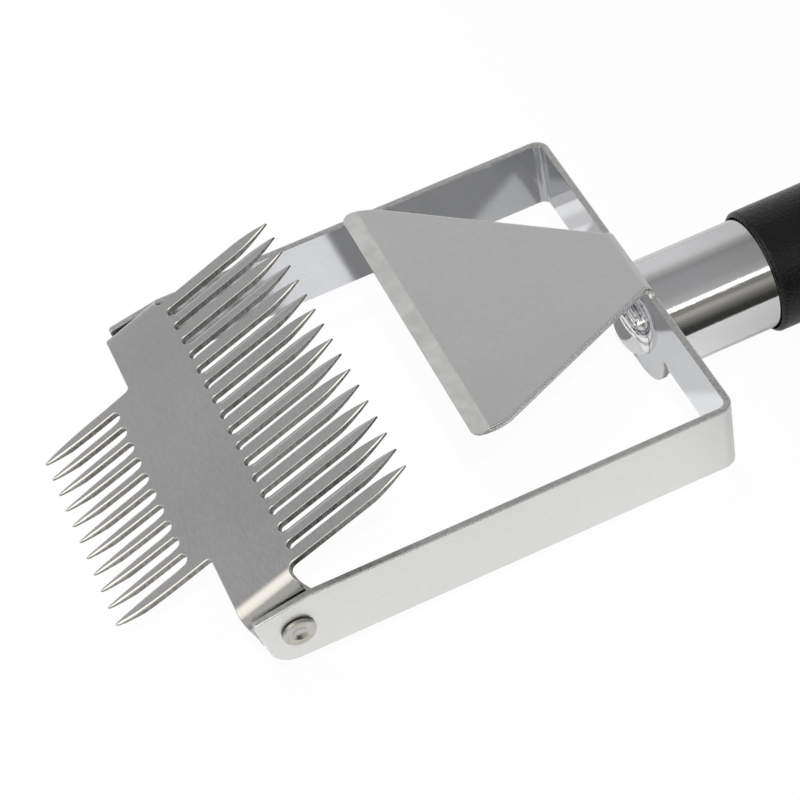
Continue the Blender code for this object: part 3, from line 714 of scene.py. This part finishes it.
TUBE_WALL = 1.0 * MM
TUBE_BORE = TUBE_RADIUS - TUBE_WALL
TUBE_ROUNDINGS = (0.35 * MM, 0.2 * MM, 0.1 * MM, 0.1 * MM)
GRIP_SWELL = 0.65 * MM             # how much wider the grip is at the tail than in front
GRIP_LIP = 1.0 * MM
GRIP_MOUTH = 0.25 * MM
GRIP_SLICES = 60
CAP_RIBS = 3
CAP_RIB_PITCH = 4.5 * MM
CAP_RIB_DEPTH = 0.6 * MM
CAP_RIB_FALL = CAP_RIB_PITCH / 3   # length of a rib's steep side
CAP_FACE_RADIUS = 8.5 * MM
CAP_GROOVE = 0.4 * MM              # radius of the groove and of the edge in front of it
CAP_GROOVE_PLACE = 2.6 * MM
CAP_GROOVE_LIFT = 0.15 * MM
CAP_GROOVE_TURN = (200, 340)
CAP_HOLE_RADIUS = 3.2 * MM
CAP_HOLE_RIM = 0.35 * MM
CAP_RIM_ANGLE = math.radians(50)   # edges that turn further than this get the rim's bevel
DOME_HEIGHT = 4.0 * MM
DOME_PLAY = 0.05 * MM              # between the dome and the wall
DOME_STEPS = 28
SHANK_RADIUS = 2.95 * MM
SHANK_CHAMFER = 0.6 * MM


def handle_tube(finish):
    start = TUBE_LOW.x - ORIGIN.x
    end = TUBE_HIGH.x - ORIGIN.x
    profile = ring_profile(start, end, TUBE_BORE, TUBE_RADIUS, TUBE_ROUNDINGS)
    builder = on_handle(turned(profile, TURN_STEPS))
    even_shading(add_piece("polished_tube", builder, "frame", "handle_tube", [finish]))


def grip_sleeve(finish):
    """A sleeve with rounded ends that swells slowly towards the tail."""
    tail_radius = (GRIP_HIGH.y - GRIP_LOW.y) / 2
    front_radius = tail_radius - GRIP_SWELL
    bore = TUBE_RADIUS + GAP
    start = GRIP_LOW.x - ORIGIN.x
    end = GRIP_HIGH.x - ORIGIN.x
    sleeve_start = start + GRIP_LIP
    profile = arc((start + GRIP_MOUTH, bore + GRIP_MOUTH), GRIP_MOUTH, 270, 180, steps=4)
    profile += arc((sleeve_start, front_radius - GRIP_LIP), GRIP_LIP, 180, 90, steps=10)
    for step in range(1, GRIP_SLICES):
        share = step / GRIP_SLICES
        swell = GRIP_SWELL * (1 - math.cos(math.pi * share)) / 2
        profile.append((sleeve_start + (end - sleeve_start) * share, front_radius + swell))
    profile += arc((end - GRIP_MOUTH, tail_radius - GRIP_MOUTH), GRIP_MOUTH, 90, 0, steps=4)
    profile += [(end, bore)]
    builder = on_handle(turned(profile, TURN_STEPS))
    add_piece("pebbled_grip", builder, "frame", "grip_sleeve", [finish])


def end_cap(finish):
    """A ribbed shank inside the tube and a rounded knob with a groove and a hanging hole."""
    foot = CAP_LOW.x - ORIGIN.x
    start = GRIP_HIGH.x - ORIGIN.x + GAP
    end = CAP_HIGH.x - ORIGIN.x
    radius = (CAP_HIGH.y - CAP_LOW.y) / 2
    crest_radius = TUBE_BORE - GAP
    valley_radius = crest_radius - CAP_RIB_DEPTH
    profile = [(foot, 2 * AXIS_RADIUS), (foot, valley_radius)]
    for rib in range(CAP_RIBS):
        crest = foot + CAP_RIB_PITCH * (rib + 0.5)
        profile += [(crest, crest_radius), (crest + CAP_RIB_FALL, valley_radius)]
    profile += [(start, valley_radius), (start, radius - CAP_GROOVE)]
    profile += arc((start + CAP_GROOVE, radius - CAP_GROOVE), CAP_GROOVE, 180, 90, steps=5)
    groove_centre = (start + CAP_GROOVE_PLACE, radius + CAP_GROOVE_LIFT)
    profile += arc(groove_centre, CAP_GROOVE, *CAP_GROOVE_TURN, steps=8)
    round_over = radius - CAP_FACE_RADIUS
    profile += arc((end - round_over, CAP_FACE_RADIUS), round_over, 90, 0, steps=24)
    profile += [(end, 2 * AXIS_RADIUS)]
    builder = on_handle(turned(profile, TURN_STEPS, closed=False))
    piece = add_piece("moulded_end_cap", builder, "frame", "end_cap", [finish])
    hole = turned([(-2 * radius, CAP_HOLE_RADIUS), (2 * radius, CAP_HOLE_RADIUS)],
                  SMALL_STEPS, closed=False)
    upright = Matrix.Rotation(math.pi / 2, 4, "Y")
    place = Matrix.Translation(((start + end) / 2, 0.0, HANDLE_Z))
    drill(piece, moved(hole, place @ upright))
    rim = piece.modifiers.new("hole_rim", "BEVEL")
    rim.width = CAP_HOLE_RIM
    rim.segments = 3
    rim.limit_method = "ANGLE"
    rim.angle_limit = CAP_RIM_ANGLE
    even_shading(piece)


def handle_bolt(finish):
    """A domed head against the back wall, and a shank that ends in a chamfer."""
    dome_radius = (BOLT_HIGH.y - BOLT_LOW.y) / 2
    tip = BOLT_LOW.x - ORIGIN.x
    end = BOLT_HIGH.x - ORIGIN.x
    seat = -SHEET - DOME_PLAY
    profile = []
    for step in range(1, DOME_STEPS + 1):
        angle = math.pi / 2 * step / DOME_STEPS
        x = max(seat - DOME_HEIGHT * math.cos(angle), tip)
        profile.append((x, dome_radius * math.sin(angle)))
    profile += [(seat, SHANK_RADIUS), (end - SHANK_CHAMFER, SHANK_RADIUS)]
    profile += [(end, SHANK_RADIUS - SHANK_CHAMFER)]
    builder = on_handle(turned(profile, SMALL_STEPS, closed=False))
    add_piece("polished_bolt", builder, "frame", "handle_bolt", [finish])


# ---- node trees

class Graph:
    """A node tree, with short calls for the nodes that this script uses."""

    def __init__(self, tree):
        self.tree = tree

    def node(self, kind, **settings):
        node = self.tree.nodes.new(kind)
        for name, value in settings.items():
            setattr(node, name, value)
        return node

    def feed(self, socket, value):
        """Gives a socket the output of another node, a colour or a number."""
        if isinstance(value, bpy.types.NodeSocket):
            self.tree.links.new(value, socket)
        elif isinstance(value, tuple):
            socket.default_value = (*value, 1.0)
        else:
            socket.default_value = value

    def split(self, vector):
        """The X, Y and Z of a vector."""
        node = self.node("ShaderNodeSeparateXYZ")
        self.feed(node.inputs[0], vector)
        return node.outputs

    def combine(self, operation, *values):
        """The result of a calculation on numbers or textures."""
        node = self.node("ShaderNodeMath", operation=operation)
        for socket, value in zip(node.inputs, values):
            self.feed(socket, value)
        return node.outputs[0]

    def spread(self, value, low, high, start=0.3, end=0.7, shape="LINEAR"):
        """Maps a value between start and end to low to high."""
        node = self.node("ShaderNodeMapRange", interpolation_type=shape)
        self.feed(node.inputs["Value"], value)
        self.feed(node.inputs["From Min"], start)
        self.feed(node.inputs["From Max"], end)
        self.feed(node.inputs["To Min"], low)
        self.feed(node.inputs["To Max"], high)
        return node.outputs["Result"]

    def mix_colours(self, factor, first, second):
        node = self.node("ShaderNodeMix", data_type="RGBA")
        self.feed(node.inputs["Factor"], factor)
        self.feed(node.inputs[6], first)
        self.feed(node.inputs[7], second)
        return node.outputs[2]

    def mix_shaders(self, factor, first, second):
        node = self.node("ShaderNodeMixShader")
        for socket, value in zip(node.inputs, (factor, first, second)):
            self.feed(socket, value)
        return node.outputs[0]

    def background(self, colour, strength=1.0):
        node = self.node("ShaderNodeBackground")
        self.feed(node.inputs["Color"], colour)
        self.feed(node.inputs["Strength"], strength)
        return node.outputs[0]


class Finish(Graph):
    """A Principled material whose inputs are fed by procedural textures in object space."""

    def __init__(self, name, metallic):
        self.material = bpy.data.materials.new(name)
        self.material.use_nodes = True
        super().__init__(self.material.node_tree)
        self.shader = self.tree.nodes["Principled BSDF"]
        self.feed(self.shader.inputs["Metallic"], metallic)
        self.place = self.node("ShaderNodeTexCoord").outputs["Object"]

    def noise(self, scale, detail=2.0, stretch=(1.0, 1.0, 1.0)):
        mapping = self.node("ShaderNodeMapping")
        mapping.inputs["Scale"].default_value = stretch
        self.feed(mapping.inputs["Vector"], self.place)
        texture = self.node("ShaderNodeTexNoise")
        self.feed(texture.inputs["Scale"], scale)
        self.feed(texture.inputs["Detail"], detail)
        self.feed(texture.inputs["Vector"], mapping.outputs["Vector"])
        return texture.outputs["Fac"]

    def cells(self, scale):
        texture = self.node("ShaderNodeTexVoronoi")
        self.feed(texture.inputs["Scale"], scale)
        self.feed(texture.inputs["Vector"], self.place)
        return texture.outputs["Distance"]

    def colour(self, value):
        self.feed(self.shader.inputs["Base Color"], value)

    def roughness(self, value):
        self.feed(self.shader.inputs["Roughness"], value)

    def specular(self, value):
        self.feed(self.shader.inputs["Specular IOR Level"], value)

    def bump(self, height, strength, distance):
        node = self.node("ShaderNodeBump")
        self.feed(node.inputs["Strength"], strength)
        self.feed(node.inputs["Distance"], distance)
        self.feed(node.inputs["Height"], height)
        self.feed(self.shader.inputs["Normal"], node.outputs["Normal"])


# ---- materials

# How far the grain of a rolled sheet is drawn out: the smaller the number, the longer the lines
# along that axis
ALONG_BAND = (0.3, 0.3, 1.0)
ALONG_PLATE = (1.0, 0.25, 1.0)
ALONG_UNDERSIDE = (1.0, 0.3, 1.0)
ALONG_TUBE = (0.15, 1.0, 1.0)
ACROSS_BLADE = (0.25, 1.0, 1.0)
THROUGH_SHEET = (1.0, 1.0, 0.3)
EVEN = (1.0, 1.0, 1.0)

CHROME_COLOUR = (0.80, 0.80, 0.81)
DULL_CHROME_COLOUR = (0.69, 0.69, 0.695)
TUBE_DULL_FROM = GRIP_LOW.x - 16 * MM
TUBE_DULL_RUN = 14 * MM            # length over which the tube turns dull


def steel(name, colour, roughness, grain, stretch=EVEN, mottle=0.06, bump=0.05):
    """Sheet steel: a fine grain along one direction, faint clouds and small specks."""
    finish = Finish(name, metallic=1.0)
    lines = finish.noise(scale=grain, detail=3.0, stretch=stretch)
    clouds = finish.noise(scale=38.0)
    specks = finish.noise(scale=2600.0, detail=1.0)
    darker = tuple(part * (1 - mottle) for part in colour)
    lighter = tuple(part * (1 + mottle) for part in colour)
    tone = finish.combine("ADD", finish.spread(lines, 0.0, 0.5), finish.spread(clouds, 0.0, 0.5))
    finish.colour(finish.mix_colours(tone, darker, lighter))
    cloud_roughness = finish.spread(clouds, roughness - 0.03, roughness + 0.03)
    finish.roughness(finish.combine("ADD", finish.spread(lines, -0.035, 0.035), cloud_roughness))
    height = finish.combine("ADD", lines, finish.spread(specks, 0.0, 0.4))
    finish.bump(height, strength=bump, distance=0.006 * MM)
    return finish.material


def sheared_steel(name, dark, light):
    """The cut side of a sheet: streaked through its thickness, dark and bright in turn."""
    finish = Finish(name, metallic=1.0)
    streaks = finish.noise(scale=1100.0, stretch=THROUGH_SHEET)
    share = finish.spread(streaks, 0.0, 1.0, start=0.38, end=0.62)
    finish.colour(finish.mix_colours(share, dark, light))
    finish.roughness(finish.spread(streaks, 0.26, 0.38))
    return finish.material


def ground_steel():
    """The blade's ground edge: grinding lines across the edge and bright patches."""
    finish = Finish("ground_edge", metallic=1.0)
    lines = finish.noise(scale=2400.0, detail=3.0, stretch=ACROSS_BLADE)
    clouds = finish.noise(scale=260.0, detail=4.0)
    share = finish.spread(clouds, 0.0, 1.0, start=0.35, end=0.65)
    finish.colour(finish.mix_colours(share, (0.78, 0.78, 0.77), (0.92, 0.92, 0.91)))
    finish.roughness(finish.spread(lines, 0.34, 0.5))
    finish.bump(lines, strength=0.12, distance=0.02 * MM)
    return finish.material


def frame_finishes():
    """The frame's materials, in the order of the numbers OUTER to GROUND."""
    return [
        steel("satin_sheet", (0.70, 0.70, 0.695), roughness=0.34, grain=2200.0,
              stretch=ALONG_BAND),
        steel("rolled_edge", (0.78, 0.78, 0.775), roughness=0.28, grain=2200.0),
        sheared_steel("frame_cut_side", dark=(0.55, 0.55, 0.54), light=(0.64, 0.64, 0.63)),
        steel("polished_sheet", (0.69, 0.70, 0.725), roughness=0.07, grain=2200.0,
              stretch=ALONG_BAND, bump=0.02),
        ground_steel(),
    ]


def comb_finishes():
    """The comb's materials, in the order of the numbers OUTER to INNER."""
    return [
        steel("comb_satin", (0.465, 0.465, 0.47), roughness=0.29, grain=2000.0,
              stretch=ALONG_PLATE, mottle=0.055, bump=0.02),
        steel("comb_rolled_edge", (0.60, 0.595, 0.585), roughness=0.2, grain=2400.0),
        # Painted shade: the comb's cut sides get a far darker colour than the frame's, standing in
        # for the shaded floor that the teeth's side walls mirror. The streaks are the cut's own
        # texture.
        sheared_steel("comb_cut_side_painted_shade", dark=(0.18, 0.177, 0.17), light=(0.29, 0.285, 0.275)),
        steel("comb_underside", (0.56, 0.56, 0.55), roughness=0.22, grain=900.0,
              stretch=ALONG_UNDERSIDE),
    ]


def chrome(name, roughness, dull_from=None):
    """Polished chrome with hairline wear and pin pricks, duller from one place to the tail."""
    finish = Finish(name, metallic=1.0)
    if dull_from is None:
        finish.colour(CHROME_COLOUR)
    else:
        dull = finish.spread(finish.split(finish.place)["X"], 0.0, 1.0,
                             start=dull_from, end=dull_from + TUBE_DULL_RUN)
        finish.colour(finish.mix_colours(dull, CHROME_COLOUR, DULL_CHROME_COLOUR))
    hairs = finish.noise(scale=1400.0, detail=3.0, stretch=ALONG_TUBE)
    pits = finish.noise(scale=2400.0, detail=1.0)
    finish.roughness(finish.spread(hairs, roughness * 0.7, roughness * 1.6))
    pitted = finish.spread(pits, 0.0, 1.0, start=0.62, end=0.75)
    height = finish.combine("ADD", finish.spread(hairs, 0.0, 0.8), pitted)
    finish.bump(height, strength=0.16, distance=0.02 * MM)
    return finish.material


def zinc_plate(name):
    """Zinc plating: dull, slightly blue, with a fine crystal pattern."""
    finish = Finish(name, metallic=1.0)
    crystals = finish.cells(scale=900.0)
    clouds = finish.noise(scale=300.0, detail=3.0)
    share = finish.spread(clouds, 0.0, 1.0)
    finish.colour(finish.mix_colours(share, (0.52, 0.53, 0.56), (0.66, 0.67, 0.68)))
    finish.roughness(finish.spread(clouds, 0.3, 0.48))
    finish.bump(crystals, strength=0.15, distance=0.03 * MM)
    return finish.material


def worn_rivet():
    """Dull steel with faint brown stains."""
    finish = Finish("rivet_steel", metallic=1.0)
    clouds = finish.noise(scale=420.0, detail=3.0)
    share = finish.spread(clouds, 0.0, 1.0)
    finish.colour(finish.mix_colours(share, (0.42, 0.40, 0.36), (0.56, 0.56, 0.55)))
    finish.roughness(finish.spread(clouds, 0.24, 0.4))
    finish.bump(clouds, strength=0.08, distance=0.05 * MM)
    return finish.material


def grip_rubber():
    """Black rubber with a leather-like pebble grain."""
    finish = Finish("pebbled_rubber", metallic=0.0)
    pebbles = finish.cells(scale=1500.0)
    fine = finish.noise(scale=2600.0)
    clouds = finish.noise(scale=40.0)
    share = finish.spread(clouds, 0.0, 1.0)
    finish.colour(finish.mix_colours(share, (0.003, 0.003, 0.0035), (0.006, 0.006, 0.007)))
    finish.roughness(finish.combine("ADD", finish.spread(fine, -0.06, 0.06),
                                    finish.spread(clouds, 0.16, 0.22)))
    height = finish.combine("ADD", pebbles, finish.spread(fine, 0.0, 0.4))
    finish.bump(height, strength=0.8, distance=0.12 * MM)
    finish.specular(0.22)
    return finish.material


def cap_plastic():
    """Moulded black plastic, smoother than the grip, lightly scuffed."""
    finish = Finish("moulded_plastic", metallic=0.0)
    grain = finish.noise(scale=2200.0)
    scuffs = finish.noise(scale=120.0, detail=4.0, stretch=(1.0, 0.4, 1.0))
    share = finish.spread(scuffs, 0.0, 1.0, start=0.55, end=0.8)
    finish.colour(finish.mix_colours(share, (0.018, 0.018, 0.02), (0.045, 0.045, 0.048)))
    finish.roughness(finish.spread(scuffs, 0.32, 0.5))
    finish.bump(grain, strength=0.2, distance=0.05 * MM)
    return finish.material


# ---- studio

# Brightness of the studio round the X axis, in turns: the horizon behind the tool is at 0, the
# ceiling at 0.25, the horizon on the camera's side at 0.5 and straight down at 0.75
STUDIO = (
    (0.000, (0.66, 0.66, 0.67)),
    (0.080, (0.68, 0.68, 0.69)),
    (0.111, (0.64, 0.64, 0.64)),
    (0.125, (0.56, 0.56, 0.56)),
    (0.147, (0.42, 0.42, 0.42)),
    (0.180, (0.29, 0.29, 0.295)),
    (0.220, (0.34, 0.34, 0.345)),
    (0.300, (0.36, 0.36, 0.365)),
    (0.358, (0.48, 0.48, 0.48)),
    (0.369, (2.6, 2.6, 2.55)),
    (0.377, (2.6, 2.6, 2.5)),
    (0.386, (0.26, 0.25, 0.23)),
    (0.408, (0.24, 0.235, 0.21)),
    (0.424, (0.42, 0.41, 0.385)),
    (0.438, (0.38, 0.37, 0.345)),
    (0.455, (0.24, 0.235, 0.215)),
    (0.475, (0.14, 0.137, 0.125)),
    (0.498, (0.05, 0.049, 0.044)),
    (0.530, (0.035, 0.035, 0.032)),
    (0.556, (0.22, 0.22, 0.22)),
    (0.590, (0.75, 0.75, 0.76)),
    (1.000, (0.75, 0.75, 0.76)),
)
STUDIO_PEAK = 4.0

# Soft boxes to the left of the camera: the direction of the middle, the colour, and how far round
# the middle the full light and the faintest light reach, in degrees
SOFT_BOXES = (
    ((-0.61, -0.12, 0.76), (2.15, 2.05, 1.85), 8.0, 40.0),
    ((-0.42, -0.90, 0.10), (0.80, 0.79, 0.74), 14.0, 35.0),
)

# Plain brightness that some rays meet instead of the room, by the name of the ray
PLAIN_LIGHT = (("Is Diffuse Ray", 0.30), ("Is Camera Ray", 1.0))

LAMP_TARGET = Vector((-0.04, 0.0, 0.0))

# Lamps: name, place and side in metres, power in watts
LAMPS = (
    ("key", (-0.165, -0.67, 1.0), 0.03, 8.3),
    ("top", (-0.165, -0.13, 1.0), 0.06, 2.8),
)

PAPER_COLOUR = (0.88, 0.88, 0.88)
# Painted shade: the paper is darker towards the tail, in place of the light that falls off there,
# and over this run along X
PAPER_PAINTED_SHADE_COLOUR = (0.66, 0.66, 0.66)
PAPER_SHADE_FADE = (ORIGIN.x - 5 * MM, ORIGIN.x + 20 * MM)
PAPER_GLOW = 0.96                  # share of plain white in what the camera sees of the floor
PAPER_DROP = 0.5 * MM
PAPER_REACH = 600.0 * MM
PAPER_NEAR_EDGE = -85.0 * MM

# The camera's place is measured from the drawing origin
CAMERA_PLACE = Vector((-130.36 * MM, -326.18 * MM, 379.50 * MM))
CAMERA_HEADING = math.radians(12.90)
CAMERA_DIP = math.radians(48.71)
CAMERA_LEAN = math.radians(13.56)
CAMERA_LENS = 109.14               # focal length in mm on Blender's usual 36 mm sensor
CAMERA_CLIP = 0.01


def studio_world():
    """A soft room whose brightness turns round the tool's length. The camera sees plain white."""
    world = bpy.data.worlds.new("studio")
    bpy.context.scene.world = world
    world.use_nodes = True
    world.node_tree.nodes.clear()
    graph = Graph(world.node_tree)
    direction = graph.node("ShaderNodeTexCoord").outputs["Generated"]
    parts = graph.split(direction)
    angle = graph.combine("ARCTAN2", parts["Z"], parts["Y"])
    ramp = graph.node("ShaderNodeValToRGB")
    turns = graph.combine("WRAP", graph.combine("DIVIDE", angle, 2 * math.pi), 1.0, 0.0)
    graph.feed(ramp.inputs["Fac"], turns)
    stops = ramp.color_ramp.elements
    while len(stops) < len(STUDIO):
        stops.new(0.5)
    for stop, (position, colour) in zip(stops, STUDIO):
        stop.position = position
        stop.color = (*(value / STUDIO_PEAK for value in colour), 1.0)
    room = graph.background(ramp.outputs["Color"], STUDIO_PEAK)
    for middle, colour, core, rim in SOFT_BOXES:
        towards = graph.node("ShaderNodeVectorMath", operation="DOT_PRODUCT")
        graph.feed(towards.inputs[0], direction)
        towards.inputs[1].default_value = Vector(middle).normalized()
        share = graph.spread(
            towards.outputs["Value"], 0.0, 1.0, start=math.cos(math.radians(rim)),
            end=math.cos(math.radians(core)), shape="SMOOTHSTEP")
        room = graph.mix_shaders(share, room, graph.background(colour))
    paths = graph.node("ShaderNodeLightPath").outputs
    for path, brightness in PLAIN_LIGHT:
        plain = graph.background((brightness, brightness, brightness))
        room = graph.mix_shaders(paths[path], room, plain)
    graph.feed(graph.node("ShaderNodeOutputWorld").inputs["Surface"], room)


def paper():
    """Matt white paper, nearly plain white to the camera, with painted shade that darkens it
    towards the tail.
    """
    finish = Finish("paper", metallic=0.0)
    start, end = PAPER_SHADE_FADE
    # Painted shade: the paper's colour darkens from PAPER_COLOUR towards the tail
    painted_shade = finish.spread(finish.split(finish.place)["X"], 0.0, 1.0, start=start, end=end)
    finish.colour(finish.mix_colours(painted_shade, PAPER_COLOUR, PAPER_PAINTED_SHADE_COLOUR))
    finish.roughness(0.9)
    finish.specular(0.0)
    glow = finish.node("ShaderNodeEmission").outputs[0]
    seen = finish.node("ShaderNodeLightPath").outputs["Is Camera Ray"]
    share = finish.combine("MULTIPLY", seen, PAPER_GLOW)
    both = finish.mix_shaders(share, finish.shader.outputs[0], glow)
    finish.feed(finish.tree.nodes["Material Output"].inputs["Surface"], both)
    return finish.material


def floor():
    """A sheet of paper just below the tool."""
    height = cad_bounds[0].z - PAPER_DROP
    corners = [(-PAPER_REACH, PAPER_NEAR_EDGE, height), (PAPER_REACH, PAPER_NEAR_EDGE, height),
               (PAPER_REACH, PAPER_REACH, height), (-PAPER_REACH, PAPER_REACH, height)]
    mesh = bpy.data.meshes.new("floor")
    mesh.from_pydata(corners, [], [(0, 1, 2, 3)])
    mesh.materials.append(paper())
    add_object("floor", mesh)


def lamp(name, place, side, power):
    """A square lamp that lights the matt surfaces and doesn't mirror in the polished ones."""
    light = bpy.data.lights.new(name, "AREA")
    light.size = side
    light.energy = power
    thing = add_object(name, light)
    thing.location = place
    towards = LAMP_TARGET - Vector(place)
    thing.rotation_euler = towards.to_track_quat("-Z", "Y").to_euler()
    thing.visible_glossy = False


def camera():
    """The camera stands in front of the tool's left, looks down and leans clockwise."""
    lens = bpy.data.cameras.new("camera")
    lens.lens = CAMERA_LENS
    lens.clip_start = CAMERA_CLIP
    eye = add_object("camera", lens)
    place = Matrix.Translation(ORIGIN + CAMERA_PLACE)
    heading = Matrix.Rotation(-CAMERA_HEADING, 4, "Z")
    dip = Matrix.Rotation(math.pi / 2 - CAMERA_DIP, 4, "X")
    eye.matrix_world = place @ heading @ dip @ Matrix.Rotation(-CAMERA_LEAN, 4, "Z")
    bpy.context.scene.camera = eye


# ---- build

camera()
studio_world()
floor()
for name, place, side, power in LAMPS:
    lamp(name, place, side, power)
bpy.context.scene.view_settings.view_transform = "Standard"

frame_and_blade(frame_finishes())
comb(comb_finishes())

rivet_finish = worn_rivet()
washer_finish = zinc_plate("zinc_washer")
for label, side in (("near", -1), ("far", 1)):
    pivot_rivet(label + "_pivot_rivet", side, rivet_finish)
    rivet_washer(label + "_rivet_washer", side, washer_finish)

handle_bolt(chrome("bolt_chrome", roughness=0.035))
handle_tube(chrome("tube_chrome", roughness=0.06, dull_from=TUBE_DULL_FROM))
grip_sleeve(grip_rubber())
end_cap(cap_plastic())

# The parts inside the tube keep the CAD's shape
clamping_finish = zinc_plate("zinc_clamping_parts")
for name in ("tube_plug", "bolt_washer", "spring_washer", "bolt_nut"):
    materials = frame["nodes"][name].data.materials
    materials.clear()
    materials.append(clamping_finish)
